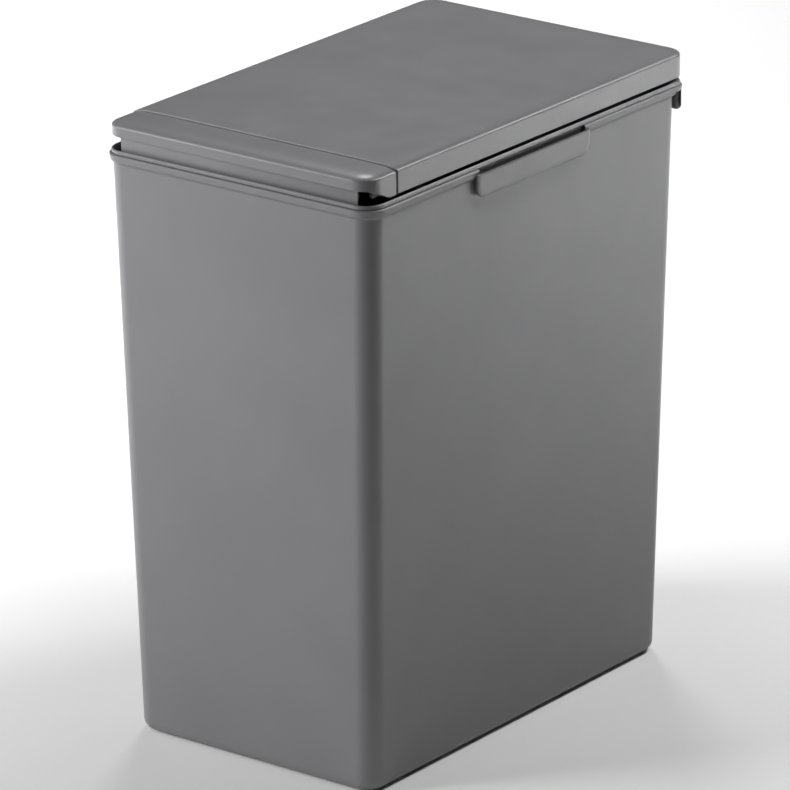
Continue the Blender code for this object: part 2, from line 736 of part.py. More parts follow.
def make_lining(finish):
    half_x = LID_HALF_X - LID_WALL - LINING_GAP
    rear = LID_REAR - LID_WALL - LINING_REAR_GAP
    line = (half_x, -BULKHEAD_Y, rear, LID_CORNER - LID_WALL)
    inner = tuple(value - LINING_WALL for value in line)
    loops = [
        section(*line, LINING_BOTTOM),
        section(*line, LINING_BOTTOM + LINING_FLANGE),
        section(*inner, LINING_BOTTOM + LINING_FLANGE),
        section(*inner, LINING_TOP),
    ]
    lining = loft("lid_lining", loops, finish)
    wall_half = half_x - LID_CORNER / 4
    start = (-wall_half, BULKHEAD_Y, LINING_BOTTOM)
    end = (wall_half, BULKHEAD_Y + LINING_WALL, LINING_BOTTOM + BULKHEAD_HEIGHT)
    join(lining, block("bulkhead", start, end))
    start = (-SHELF_HALF, BULKHEAD_Y - SHELF_REACH, LINING_BOTTOM)
    end = (SHELF_HALF, BULKHEAD_Y + LINING_WALL, LINING_TOP)
    join(lining, block("spring_shelf", start, end))
    for name, side in SIDES:
        for number, offset in enumerate((-1, 1)):
            middle = side * ARM_SIDE + offset * (ARM_WIDTH / 2 + TOUCH_GAP + EAR_WIDTH / 2)
            start = (middle - EAR_WIDTH / 2, PIVOT_Y - EAR_RADIUS, PIVOT_Z - EAR_RADIUS)
            end = (middle + EAR_WIDTH / 2, BULKHEAD_Y + LINING_WALL / 2, PIVOT_Z + EAR_RADIUS)
            join(lining, block("ear_" + name + "_" + str(number), start, end))
        bore = circle(PIVOT_Y, PIVOT_Z, PIVOT_PIN_RADIUS + BORE_GAP)
        reach = ARM_WIDTH + EAR_WIDTH
        low = side * ARM_SIDE - reach
        high = side * ARM_SIDE + reach
        cut(lining, prism("ear_bore_" + name, bore, low, high, None, "x"))
    low = LINING_BOTTOM - OVERRUN
    drill(lining, "lining_holes", boss_places(), LINING_SCREW, low, LINING_TOP + OVERRUN)
    return lining


def bar_boss_places():
    y = -LID_FRONT + BAR_BOSS_SETBACK
    return [(BAR_BOSS_SIDE * share, y, CARRIER_BOTTOM - TOUCH_GAP) for share in BAR_BOSS_SHARES]


def make_bar(finish):
    bar = lid_blank("touch_bar", BAR_EDGE, finish)
    wide = FRAME_WIDTH
    start = (-wide, SEAM_Y - SEAM_GAP / 2, LID_BOTTOM - LID_SKIRT)
    end = (wide, FRAME_DEPTH, LID_EDGE + LID_SKIRT)
    cut(bar, block("bar_seam", start, end))
    face_bottom = LID_EDGE - BAR_FACE
    deep = LID_BOTTOM - LID_SKIRT
    relief = [
        (-FRAME_DEPTH, deep),
        (-LID_FRONT + BAR_RELIEF_REAR, deep),
        (-LID_FRONT + BAR_RELIEF_REAR, LID_BOTTOM - BAR_SIDE_DROP),
        (-LID_FRONT + BAR_RELIEF_FRONT, face_bottom),
        (-FRAME_DEPTH, face_bottom),
    ]
    cut(bar, prism("bar_relief", relief, -wide, wide, None, "x"))
    for number, (x, y, _) in enumerate(bar_boss_places()):
        shape = circle(x, y, BAR_BOSS_RADIUS, ROUND_STEPS // 2)
        low = CARRIER_TOP + TOUCH_GAP
        join(bar, prism("bar_boss_" + str(number), shape, low, BOSS_TOP, None, "z"))
    high = CARRIER_BOTTOM + BOSS_SCREW[3] + OVERRUN
    drill(bar, "bar_boss_holes", bar_boss_places(), BOSS_SCREW, CARRIER_BOTTOM, high)
    return bar


def plate_screw_places():
    y = PLATE_Y + PLATE_WALL + PLATE_FLANGE / 2
    low = FLANGE_TOP - PLATE_FLANGE_WALL - TOUCH_GAP
    places = (-PLATE_SCREW_SIDE, -PLATE_SCREW_INNER, PLATE_SCREW_INNER, PLATE_SCREW_SIDE)
    return [(x, y, low) for x in places]


def hook_screw_places():
    y = HOOK_Y + HOOK_SCREW_SETBACK
    low = FLANGE_TOP - HOOK_FOOT_WALL - TOUCH_GAP
    return [(side * HOOK_SCREW_SIDE, y, low) for _, side in SIDES]


def make_carrier(finish):
    # Inner panel of the bar, with the pivot arms and two side flanges
    inner_half = CARRIER_HALF - CARRIER_SIDE_WALL
    start = (-inner_half, CARRIER_FRONT, CARRIER_BOTTOM)
    end = (inner_half, CARRIER_REAR, CARRIER_TOP)
    carrier = block("bar_carrier", start, end, finish)
    for name, side in SIDES:
        low, high = sorted((side * (inner_half - OVERRUN), side * CARRIER_HALF))
        start = (low, CARRIER_FRONT + CARRIER_SIDE_FRONT, CARRIER_TOP - CARRIER_SIDE_HEIGHT)
        end = (high, CARRIER_REAR - CARRIER_SIDE_REAR, CARRIER_TOP)
        join(carrier, block("carrier_side_" + name, start, end))
        low = side * ARM_SIDE - ARM_WIDTH / 2
        high = side * ARM_SIDE + ARM_WIDTH / 2
        start = (low, CARRIER_REAR - ARM_OVERLAP, PIVOT_Z - ARM_RADIUS)
        end = (high, PIVOT_Y + ARM_RADIUS, CARRIER_TOP)
        join(carrier, block("carrier_arm_" + name, start, end))
        bore = circle(PIVOT_Y, PIVOT_Z, PIVOT_PIN_RADIUS + BORE_GAP)
        cut(carrier, prism("arm_bore_" + name, bore, low - OVERRUN, high + OVERRUN, None, "x"))
    low = CARRIER_BOTTOM - OVERRUN
    high = CARRIER_TOP + OVERRUN
    drill(carrier, "carrier_bar_holes", bar_boss_places(), BOSS_SCREW, low, high)
    small = plate_screw_places() + hook_screw_places()
    drill(carrier, "carrier_small_holes", small, SMALL_SCREW, low, high)
    return carrier


def make_plate(finish):
    # Front plate that dips inside the frame, with a flange under the carrier
    flange_low = FLANGE_TOP - PLATE_FLANGE_WALL
    shape = [
        (PLATE_Y, PLATE_BOTTOM),
        (PLATE_Y + PLATE_WALL, PLATE_BOTTOM),
        (PLATE_Y + PLATE_WALL, flange_low),
        (PLATE_Y + PLATE_WALL + PLATE_FLANGE, flange_low),
        (PLATE_Y + PLATE_WALL + PLATE_FLANGE, FLANGE_TOP),
        (PLATE_Y, FLANGE_TOP),
    ]
    plate = prism("latch_plate", shape, -PLATE_HALF, PLATE_HALF, finish, "x")
    low = flange_low - OVERRUN
    drill(plate, "plate_holes", plate_screw_places(), SMALL_SCREW, low, FLANGE_TOP + OVERRUN)
    return plate


def make_hook(finish):
    # Arm with a forward nose at its foot and a rear tooth that stops the bar's rise
    stop_top = LINING_BOTTOM - TOUCH_GAP
    back = HOOK_Y + HOOK_WALL
    shape = [
        (HOOK_Y, HOOK_BOTTOM),
        (back, HOOK_BOTTOM),
        (back, stop_top - HOOK_STOP_HEIGHT),
        (back + HOOK_STOP, stop_top - HOOK_STOP_HEIGHT / 2),
        (back + HOOK_STOP, stop_top),
        (back, stop_top),
        (back, FLANGE_TOP),
        (HOOK_Y, FLANGE_TOP),
        (HOOK_Y, NOSE_TOP),
        (HOOK_Y - HOOK_NOSE, NOSE_TOP),
        (HOOK_Y - HOOK_NOSE, NOSE_TOP - HOOK_NOSE_HEIGHT / 2),
    ]
    hook = prism("latch_hook", shape, -HOOK_HALF, HOOK_HALF, finish, "x")
    foot_low = FLANGE_TOP - HOOK_FOOT_WALL
    start = (-HOOK_FOOT_HALF, HOOK_Y, foot_low)
    end = (HOOK_FOOT_HALF, HOOK_Y + HOOK_FOOT, FLANGE_TOP)
    join(hook, block("hook_foot", start, end))
    drill(hook, "hook_holes", hook_screw_places(), SMALL_SCREW, foot_low - OVERRUN, FLANGE_TOP + OVERRUN)
    return hook


def catch_screw_places():
    y = -SKIRT_FRONT + SKIRT_WALL + TOUCH_GAP + CATCH_WALL + TOUCH_GAP
    z = SKIRT_BOTTOM + CATCH_LIFT + CATCH_HEIGHT / 2
    return [(side * CATCH_SCREW_SIDE, y, z) for _, side in SIDES]


def make_catch(finish):
    # Plate on the frame's front skirt with the ledge that the hook's nose sits under
    front = -SKIRT_FRONT + SKIRT_WALL + TOUCH_GAP
    low = SKIRT_BOTTOM + CATCH_LIFT
    start = (-CATCH_HALF, front, low)
    end = (CATCH_HALF, front + CATCH_WALL, low + CATCH_HEIGHT)
    catch = block("catch_plate", start, end, finish)
    ledge_low = NOSE_TOP + CATCH_LEDGE_ABOVE
    start = (-CATCH_LEDGE_HALF, front + CATCH_WALL / 2, ledge_low)
    end = (CATCH_LEDGE_HALF, front + CATCH_LEDGE, ledge_low + CATCH_LEDGE_WALL)
    join(catch, block("catch_ledge", start, end))
    drill(catch, "catch_holes", catch_screw_places(), SMALL_SCREW, -FRAME_HALF_Y, HOOK_Y, "front")
    return catch


def make_leaves(finish):
    # Lid side of each hinge: a barrel, a short upright and a plate under the lid
    for name, side in SIDES:
        low, high = sorted((side * LEAF_START, side * (LEAF_START + LEAF_BARREL)))
        barrel = circle(HINGE_Y, HINGE_Z, BARREL_RADIUS)
        leaf = prism("lid_hinge_leaf_" + name, barrel, low, high, finish, "x")
        start = (low, HINGE_Y - BARREL_RADIUS + FRAME_EDGE, HINGE_Z)
        end = (high, HINGE_Y - FRAME_EDGE, LEAF_TOP)
        join(leaf, block("leaf_upright_" + name, start, end))
        low, high = sorted((side * STATION_INNER, side * (STATION_OUTER + PIN_OUTER / 2)))
        start = (low, HINGE_Y - LEAF_REACH, LEAF_BOTTOM)
        end = (high, HINGE_Y - FRAME_EDGE, LEAF_TOP)
        join(leaf, block("leaf_plate_" + name, start, end))
        bore = circle(HINGE_Y, HINGE_Z, HINGE_PIN_RADIUS + BORE_GAP)
        low, high = sorted((side * (STATION_INNER - OVERRUN), side * (STATION_OUTER + OVERRUN)))
        cut(leaf, prism("leaf_bore_" + name, bore, low, high, None, "x"))
        low = LEAF_BOTTOM - OVERRUN
        drill(leaf, "leaf_holes_" + name, leaf_screw_places(), BOSS_SCREW, low, LEAF_TOP + OVERRUN)


def make_pins(finish):
    for name, side in SIDES:
        low, high = sorted((side * (STATION_INNER - BORE_GAP), side * PIN_END))
        shape = circle(HINGE_Y, HINGE_Z, HINGE_PIN_RADIUS)
        prism("hinge_pin_" + name, shape, low, high, finish, "x")
        reach = ARM_WIDTH / 2 + TOUCH_GAP + EAR_WIDTH + BORE_GAP
        shape = circle(PIVOT_Y, PIVOT_Z, PIVOT_PIN_RADIUS)
        low = side * ARM_SIDE - reach
        high = side * ARM_SIDE + reach
        prism("bar_pivot_pin_" + name, shape, low, high, finish, "x")


def make_lid_springs(finish):
    # Torsion springs round the pins, one leg on the frame and one under the leaf
    for name, side in SIDES:
        start = STATION_OUTER + LID_SPRING_START
        lower = FRAME_TOP + LID_SPRING_WIRE + TOUCH_GAP
        upper = LEAF_BOTTOM - LID_SPRING_WIRE - TOUCH_GAP
        points = [(side * start, HINGE_Y - LID_SPRING_LEG, lower)]
        sweep = math.pi * (2 * LID_SPRING_TURNS + 1)
        total = LID_SPRING_TURNS * COIL_STEPS
        for step in range(total + 1):
            share = step / total
            angle = sweep * share
            y = HINGE_Y + LID_SPRING_COIL * math.sin(angle)
            z = HINGE_Z - LID_SPRING_COIL * math.cos(angle)
            points.append((side * (start + LID_SPRING_WIDTH * share), y, z))
        points.append((side * (start + LID_SPRING_WIDTH), HINGE_Y - LID_SPRING_LEG, upper))
        wire("lid_spring_" + name, points, LID_SPRING_WIRE, finish)


def make_return_springs(finish):
    # Compression springs between the lining's shelf and the carrier
    y = -LID_FRONT + RETURN_SETBACK
    low = LINING_TOP + TOUCH_GAP + RETURN_WIRE
    high = CARRIER_BOTTOM - TOUCH_GAP - RETURN_WIRE
    total = RETURN_TURNS * COIL_STEPS
    for name, side in SIDES:
        points = []
        for step in range(total + 1):
            share = step / total
            angle = 2 * math.pi * RETURN_TURNS * share
            x = side * RETURN_SIDE + RETURN_COIL * math.cos(angle)
            points.append((x, y + RETURN_COIL * math.sin(angle), low + (high - low) * share))
        wire("bar_spring_" + name, points, RETURN_WIRE, finish)


def joint_axis(name, place, pieces):
    # Empty on a joint's axis that carries the pieces named by the starts of their names
    axis = bpy.data.objects.new(name, None)
    bpy.context.scene.collection.objects.link(axis)
    axis.location = place
    for thing in list(bpy.data.objects):
        if thing.name.startswith(pieces):
            thing.parent = axis
            thing.matrix_parent_inverse = Matrix.Translation(place).inverted()


def build():
    for thing in list(bpy.data.objects):
        bpy.data.objects.remove(thing)
    grey = material("grey_plastic", (0.21, 0.21, 0.215), 0.42)
    inner = material("inner_plastic", (0.12, 0.12, 0.125), 0.5)
    acetal = material("acetal", (0.55, 0.55, 0.53), 0.4)
    steel = material("steel", (0.60, 0.60, 0.62), 0.3, 1.0)
    rubber = material("rubber", (0.03, 0.03, 0.03), 0.8)
    make_bucket(grey)
    make_frame(grey)
    make_lid(grey)
    make_lining(inner)
    make_bar(grey)
    make_carrier(inner)
    make_plate(grey)
    make_hook(acetal)
    make_catch(acetal)
    make_leaves(inner)
    make_pins(steel)
    make_lid_springs(steel)
    make_return_springs(steel)
    make_buffers(rubber)
    screws("lining_screw", boss_places(), LINING_SCREW, steel)
    screws("hinge_screw", leaf_screw_places(), BOSS_SCREW, steel)
    screws("bar_screw", bar_boss_places(), BOSS_SCREW, steel)
    screws("plate_screw", plate_screw_places(), SMALL_SCREW, steel)
    screws("hook_screw", hook_screw_places(), SMALL_SCREW, steel)
    screws("catch_screw", catch_screw_places(), SMALL_SCREW, steel, "front")
    joint_axis("bar_axis", (0, PIVOT_Y, PIVOT_Z), BAR_PIECES)
    joint_axis("lid_axis", (0, HINGE_Y, HINGE_Z), LID_PIECES)
    joint_axis("frame_seat", (0, 0, FRAME_BOTTOM), FRAME_PIECES)


build()
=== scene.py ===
# Touch trash can: detailed surfaces, finishes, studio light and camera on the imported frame.
# Metres, +Z up, the touch bar faces -Y.
import math

import bmesh
import bpy
from mathutils import Matrix, Vector


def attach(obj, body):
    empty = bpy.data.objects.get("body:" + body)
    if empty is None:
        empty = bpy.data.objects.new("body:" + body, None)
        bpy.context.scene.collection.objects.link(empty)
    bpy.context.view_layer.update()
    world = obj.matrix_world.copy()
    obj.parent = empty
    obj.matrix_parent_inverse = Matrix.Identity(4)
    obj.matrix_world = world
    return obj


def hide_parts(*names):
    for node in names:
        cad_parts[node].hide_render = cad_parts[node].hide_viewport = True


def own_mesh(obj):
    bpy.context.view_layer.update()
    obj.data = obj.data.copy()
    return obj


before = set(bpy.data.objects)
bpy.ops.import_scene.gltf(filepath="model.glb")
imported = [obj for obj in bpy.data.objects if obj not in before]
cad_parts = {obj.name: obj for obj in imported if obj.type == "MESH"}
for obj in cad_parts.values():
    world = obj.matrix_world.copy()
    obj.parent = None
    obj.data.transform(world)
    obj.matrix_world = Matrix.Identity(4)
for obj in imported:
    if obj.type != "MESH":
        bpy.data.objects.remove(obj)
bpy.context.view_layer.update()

# Frame ring
FRAME_WIDTH = 0.215
FRAME_DEPTH = 0.344
FRAME_CORNER = 0.0142
FRAME_TOP = 0.4004
FRAME_BAND = 0.0025
FRAME_EDGE = 0.0003
FRAME_LAND = 0.0011
FRAME_CHAMFER = 0.0012
SKIRT_WALL = 0.0018
SKIRT_SLOPE = 0.006
SKIRT_DEPTH = 0.022
DECK_LIP = 0.002

# Bucket
BASE_SIDE_INSET = 0.0102
BASE_FRONT_INSET = 0.0099
BASE_REAR_INSET = 0.0139
BUCKET_WALL = 0.0022
WALL_INSET = 0.0011
REAR_WALL_INSET = 0.0076
BASE_FILLET = 0.0075
BUCKET_CORNER = 0.0135
FOOT_WIDTH = 0.012
FOOT_HEIGHT = 0.003
BASE_WALL = 0.0025
INNER_FILLET = 0.004
RIM_SEAT_GAP = 0.0003
SEAT_HEIGHT = 0.0054
SEAT_EASE = 0.001
BAND_HEIGHT = 0.0048
BAND_OVERHANG = 0.0015
BAND_COVE = 0.0015
BAND_TAPER = 0.0008
PARTING_GAP = 0.00025
CORNER_MIN = 0.002

# Side grips and rear skirt
GRIP_PROUD = 0.0041
GRIP_FRONT = 0.064
GRIP_REAR = 0.058
GRIP_HEIGHT = 0.016
GRIP_WALL = 0.0018
GRIP_END_WALL = 0.004
GRIP_ROUND = 0.008
GRIP_CROWN = 0.001
GRIP_CROWN_WIDTH = 0.0045
GRIP_UNDERCUT = 0.0025
GRIP_FLOOR = 0.001
GRIP_SLOT = 0.0028
GRIP_LIP_ROUND = 0.0009
REAR_SKIRT_INSET = 0.001
REAR_SKIRT_DEPTH = 0.0155
REAR_SKIRT_WALL = 0.002
REAR_SKIRT_ROUND = 0.01
REAR_SKIRT_STEP = 0.0001
REAR_SKIRT_SETBACK = 0.0065
REAR_COVE_LENGTH = 0.011
REAR_COVE_DROP = 0.0095

# Lid
LID_SIDE_INSET = 0.0014
LID_FRONT_PROUD = 0.0004
LID_REAR_PROUD = 0.0015
LID_GAP = 0.002
LID_SKIRT = 0.0144
LID_WALL = 0.0022
LID_CORNER = 0.0138
ROLL_WIDTH = 0.020
ROLL_RISE = 0.0034
ROLL_POWER = 3
CROWN_RISE = 0.0015
BOSS_RADIUS = 0.0032
BOSS_SIDE_INSET = 0.0195
BOSS_FRONT_SETBACK = 0.0307
BOSS_MIDDLE = 0.018
BOSS_REAR_SETBACK = 0.0335

# Lid lining
LINING_WALL = 0.0016
LINING_RISE = 0.0006
LINING_FLANGE = 0.004
LINING_GAP = 0.0005
LINING_REAR_GAP = 0.0043
BULKHEAD_SETBACK = 0.0065
BULKHEAD_HEIGHT = 0.013
SHELF_HALF = 0.060
SHELF_REACH = 0.0205

# Touch bar
BAR_DEPTH = 0.0297
BAR_STEP = 0.0008
SEAM_GAP = 0.0015
BAR_FACE = 0.0070
BAR_SIDE_DROP = 0.0004
BAR_RELIEF_FRONT = 0.0044
BAR_RELIEF_REAR = 0.0219
BAR_PIVOT_BEHIND = 0.0025
BAR_PIVOT_ABOVE = 0.0076
CARRIER_WALL = 0.002
CARRIER_DROP = 0.0033
BAR_BOSS_RADIUS = 0.0028
BAR_BOSS_INSET = 0.0175
BAR_BOSS_SHARES = (-1, -1 / 3, 1 / 3, 1)
BAR_BOSS_SETBACK = 0.0154
ARM_INSET = 0.0275
ARM_WIDTH = 0.006
EAR_WIDTH = 0.0037
EAR_RADIUS = 0.0032
PIVOT_PIN_RADIUS = 0.0015

# Latch
PLATE_INSET = 0.0127
PLATE_SETBACK = 0.0038
PLATE_WALL = 0.0016
PLATE_DIP = 0.0024
PLATE_FLANGE_WALL = 0.0013
PLATE_FLANGE = 0.0053
PLATE_SCREW_INSET = 0.0375
PLATE_SCREW_INNER = 0.025
NOTCH_SIDE_GAP = 0.002
NOTCH_FRONT_GAP = 0.001
NOTCH_DEPTH = 0.0066
HOOK_SETBACK = 0.0114
HOOK_FOOT_WALL = 0.0015
HOOK_SCREW_SIDE = 0.0065
HOOK_SCREW_SETBACK = 0.008
CATCH_WALL = 0.0015
CATCH_HEIGHT = 0.012
CATCH_LIFT = 0.0015
CATCH_SCREW_SIDE = 0.012

# Springs
RETURN_SIDE = 0.045
RETURN_SETBACK = 0.0184
RETURN_COIL = 0.0024
RETURN_WIRE = 0.0003
RETURN_TURNS = 5
LID_SPRING_START = 0.0012
LID_SPRING_WIDTH = 0.0052
LID_SPRING_COIL = 0.0021
LID_SPRING_WIRE = 0.0004
LID_SPRING_TURNS = 4
LID_SPRING_LEG = 0.0033

# Lid hinge
HINGE_INSET = 0.0025
HINGE_HEIGHT = 0.0032
BARREL_RADIUS = 0.0024
HINGE_PIN_RADIUS = 0.0012
KNUCKLE_WIDTH = 0.006
HINGE_SIDE_INSET = 0.0575
LEAF_BARREL = 0.0112
SIDE_GAP = 0.0004
LEAF_WALL = 0.0016
LEAF_HEIGHT = 0.006
LEAF_SCREW_SETBACK = 0.013
NOTCH_HEIGHT = 0.0052
NOTCH_MARGIN = 0.0015
PIN_OUTER = 0.0085

# Buffers
BUFFER_RADIUS = 0.003
BUFFER_BACK = 0.059
BUFFER_INSET = 0.010
BUFFER_SEAT_BELOW = 0.0019
BUFFER_SEAT_WALL = 0.0035
BUFFER_SEAT_HALF = 0.005

# Screws: shank radius, head radius, head height, length
SCREW_HOLE_GAP = 0.0003
LINING_SCREW = (0.0013, 0.0032, 0.0012, 0.0095)
SMALL_SCREW = (0.0009, 0.0020, 0.0011, 0.0045)
BOSS_SCREW = (0.0011, 0.0024, 0.0012, 0.0055)
# Where the shank radius and the length stand in those rows
SHANK = 0
LENGTH = 3
# Shares of the head's radius and height, of the length and of the shank's radius
HEAD_FLAT_SHARE = 0.7
HEAD_RIM_SHARE = 0.45
RECESS_SHARE = 0.55
RECESS_WIDTH_SHARE = 0.16
RECESS_FLOOR_SHARE = 0.35
THREAD_LENGTH_SHARE = 0.8
THREAD_PITCH_SHARE = 0.55
THREAD_ROOT_SHARE = 0.84
POINT_START_SHARE = 0.9
POINT_SHARE = 0.3

# Softened edges
FINE_EDGE = 0.0003
LIP_EDGE = 0.0005
FACET_EDGE = 0.00015
BAND_TOP_FACET = 0.0008
FRAME_TOP_FACET = 0.0007
BAND_FOOT_EDGE = 0.0008
COVE_EDGE = 0.0009
SEAM_EDGE = 0.0005
TOOL_EDGE = 0.0004
SUPPORT_SHARE = 1.6
REACH_SHARE = 0.45
EDGE_STEPS = 4
PIN_EDGE_SHARE = 0.2
PIN_EDGE_STEPS = 2
BEVEL_STEPS = 3
# Lowest angles in degrees at which an edge is rounded, on plain and on turned solids
BEVEL_LIMIT = 35
TURNED_LIMIT = 50

# Shared values
TOUCH_GAP = 0.0003
BORE_GAP = 0.0002
OVERRUN = 0.001
CORNER_STEPS = 20
ROUND_STEPS = 48
FILLET_STEPS = 12
COIL_STEPS = 32
WIRE_STEPS = 4
WALL_LOOPS = 6
SMOOTH_LIMIT = 32
OUTER_SKIN_MIN = 0.99
ROLL_SHARES = (
    0.002, 0.006, 0.013, 0.024, 0.04, 0.06, 0.085, 0.115, 0.155, 0.205, 0.265,
    0.34, 0.43, 0.53, 0.64, 0.76, 0.88, 1.0,
)
CROWN_SHARES = (0.08, 0.18, 0.3, 0.42, 0.54, 0.66, 0.78, 0.88, 0.96)
SEAM_SHARES = (0.06, 0.2, 0.42, 0.7, 1.0, 1.5)
BAR_BOTTOM_CUTS = 26

# Worked out from the sizes above
FRAME_HALF_X = FRAME_WIDTH / 2
FRAME_HALF_Y = FRAME_DEPTH / 2
FRAME_BOTTOM = FRAME_TOP - FRAME_BAND
RIM_TOP = FRAME_BOTTOM - RIM_SEAT_GAP
BAND_BOTTOM = RIM_TOP - BAND_HEIGHT
BUCKET_FLOOR = FOOT_HEIGHT + BASE_WALL
BASE_HALF_X = FRAME_HALF_X - BASE_SIDE_INSET
BASE_FRONT = FRAME_HALF_Y - BASE_FRONT_INSET
BASE_REAR = FRAME_HALF_Y - BASE_REAR_INSET
WALL_HALF_X = FRAME_HALF_X - WALL_INSET
WALL_FRONT = FRAME_HALF_Y - WALL_INSET
WALL_REAR = FRAME_HALF_Y - REAR_WALL_INSET
SKIRT_HALF_X = WALL_HALF_X - BUCKET_WALL - 3 * TOUCH_GAP
SKIRT_FRONT = WALL_FRONT - BUCKET_WALL - 3 * TOUCH_GAP
SKIRT_REAR = WALL_REAR - BUCKET_WALL - 3 * TOUCH_GAP
SKIRT_BOTTOM = FRAME_TOP - SKIRT_DEPTH
REAR_SKIRT_HALF = FRAME_HALF_X - REAR_SKIRT_INSET
LID_HALF_X = FRAME_HALF_X - LID_SIDE_INSET
LID_FRONT = FRAME_HALF_Y + LID_FRONT_PROUD
LID_REAR = FRAME_HALF_Y + LID_REAR_PROUD
LID_BOTTOM = FRAME_TOP + LID_GAP
LID_EDGE = LID_BOTTOM + LID_SKIRT
BAR_EDGE = LID_EDGE - BAR_STEP
BOSS_TOP = LID_EDGE + ROLL_RISE - LID_WALL / 2
SEAM_Y = -LID_FRONT + BAR_DEPTH
BOSS_SIDE = FRAME_HALF_X - BOSS_SIDE_INSET
BOSS_ROWS = (SEAM_Y + BOSS_FRONT_SETBACK, BOSS_MIDDLE, LID_REAR - BOSS_REAR_SETBACK)
LINING_BOTTOM = LID_BOTTOM + LINING_RISE
LINING_TOP = LINING_BOTTOM + LINING_WALL
BULKHEAD_Y = SEAM_Y + BULKHEAD_SETBACK
PIVOT_Y = SEAM_Y + BAR_PIVOT_BEHIND
PIVOT_Z = LID_BOTTOM + BAR_PIVOT_ABOVE
ARM_SIDE = FRAME_HALF_X - ARM_INSET
BAR_BOSS_SIDE = FRAME_HALF_X - BAR_BOSS_INSET
CARRIER_TOP = LID_EDGE - CARRIER_DROP
CARRIER_BOTTOM = CARRIER_TOP - CARRIER_WALL
PLATE_HALF = FRAME_HALF_X - PLATE_INSET
PLATE_SCREW_SIDE = FRAME_HALF_X - PLATE_SCREW_INSET
PLATE_Y = -LID_FRONT + PLATE_SETBACK
PLATE_BOTTOM = FRAME_TOP - PLATE_DIP
FLANGE_TOP = CARRIER_BOTTOM - TOUCH_GAP
HOOK_Y = -LID_FRONT + HOOK_SETBACK
NOTCH_BOTTOM = FRAME_TOP - NOTCH_DEPTH
HINGE_Y = LID_REAR - HINGE_INSET
HINGE_Z = FRAME_TOP + HINGE_HEIGHT
STATION_INNER = FRAME_HALF_X - HINGE_SIDE_INSET
LEAF_START = STATION_INNER + KNUCKLE_WIDTH + SIDE_GAP
OUTER_KNUCKLE = LEAF_START + LEAF_BARREL + SIDE_GAP
STATION_OUTER = OUTER_KNUCKLE + KNUCKLE_WIDTH
PIN_END = STATION_OUTER + PIN_OUTER
LEAF_TOP = HINGE_Z + LEAF_HEIGHT
LEAF_BOTTOM = LEAF_TOP - LEAF_WALL
SIDES = (("left", -1), ("right", 1))

# Finishes
GREY = (0.167, 0.166, 0.172)
INNER_GREY = (0.09, 0.09, 0.093)
ACETAL_WHITE = (0.5, 0.5, 0.48)
ZINC = (0.55, 0.55, 0.57)
RUBBER_BLACK = (0.025, 0.025, 0.026)
PLASTIC_GRAIN = 2600
ZINC_GRAIN = 3200
RUBBER_GRAIN = 1800
# Name, colour, roughness, grain strength, grain scale and metallic value for each slot
FINISHES = {
    "bucket_plastic": ("bucket_grey", GREY, 0.42, 0.10, PLASTIC_GRAIN, 0),
    "frame_plastic": ("frame_grey", GREY, 0.36, 0.06, PLASTIC_GRAIN, 0),
    "lid_plastic": ("lid_grey", GREY, 0.34, 0.08, PLASTIC_GRAIN, 0),
    "bar_plastic": ("bar_grey", GREY, 0.32, 0.06, PLASTIC_GRAIN, 0),
    "plate_plastic": ("plate_grey", GREY, 0.42, 0.06, PLASTIC_GRAIN, 0),
    "inner_plastic": ("inner_grey", INNER_GREY, 0.5, 0.12, PLASTIC_GRAIN, 0),
    "acetal": ("acetal_white", ACETAL_WHITE, 0.35, 0.04, PLASTIC_GRAIN, 0),
    "steel": ("zinc_steel", ZINC, 0.28, 0.05, ZINC_GRAIN, 1),
    "rubber": ("buffer_rubber", RUBBER_BLACK, 0.75, 0.2, RUBBER_GRAIN, 0),
}
SURFACE_IOR = 1.46
# How far the tone and the gloss wander either way
TONE_SHARE = 0.03
GLOSS_SHARE = 0.07
# Scale and detail of the noise behind each, and the part of its range that is used
TONE_NOISE = (14, 3)
TONE_RANGE = (0.35, 0.65)
GLOSS_NOISE = (42, 4)
GLOSS_RANGE = (0.3, 0.7)
GRAIN_DETAIL = 2
GRAIN_HEIGHT = 0.00005

# Studio
PHOTO_WIDTH_PX = 790
FOCAL_PX = 6960.8
SENSOR_MM = 36
CAMERA_AZIMUTH = 37.273
CAMERA_ELEVATION = 19.670
CAMERA_ROLL = -0.394
CAMERA_DISTANCE = 4.570
LOOK_AT = (-0.0054, 0.0, 0.2050)
CLIP_END = 100
FLOOR_SIZE = 14.0
FLOOR_DEEP = 0.02
FLOOR_GAP = 0.0002
FLOOR_COLOUR = (0.85, 0.85, 0.85, 1)
FLOOR_ROUGHNESS = 0.9
WORLD_COLOUR = (1, 1, 1, 1)
WORLD_STRENGTH = 0.03
# Name, place, aim, side length, power and spread in degrees of each light
SOFTBOXES = (
    ("left_softbox", (-1.556, -1.556, 1.0), (0, 0, 0.3), 1.2, 56, 180),
    ("right_softbox", (0.45, 0.55, 1.5), (0, 0, 0.42), 0.4, 9, 180),
    ("back_softbox", (-0.59, 0.77, 1.56), (0, 0, 0.42), 0.3, 5, 180),
    ("left_edge_light", (-0.86, -0.52, 1.4), (0, 0, 0.42), 0.3, 2.5, 180),
    ("right_edge_light", (0.45, 1.2, 1.38), (0, 0, 0.42), 0.4, 9, 180),
    ("left_floor_light", (-1.9, -0.2, 2.4), (-1.9, -0.2, 0), 1.2, 25, 60),
    ("back_floor_light", (-1.1, 1.5, 2.4), (-1.1, 1.5, 0), 1.2, 7, 60),
    ("right_floor_light", (1.3, 1.6, 2.4), (1.3, 1.6, 0), 1.2, 54, 60),
)


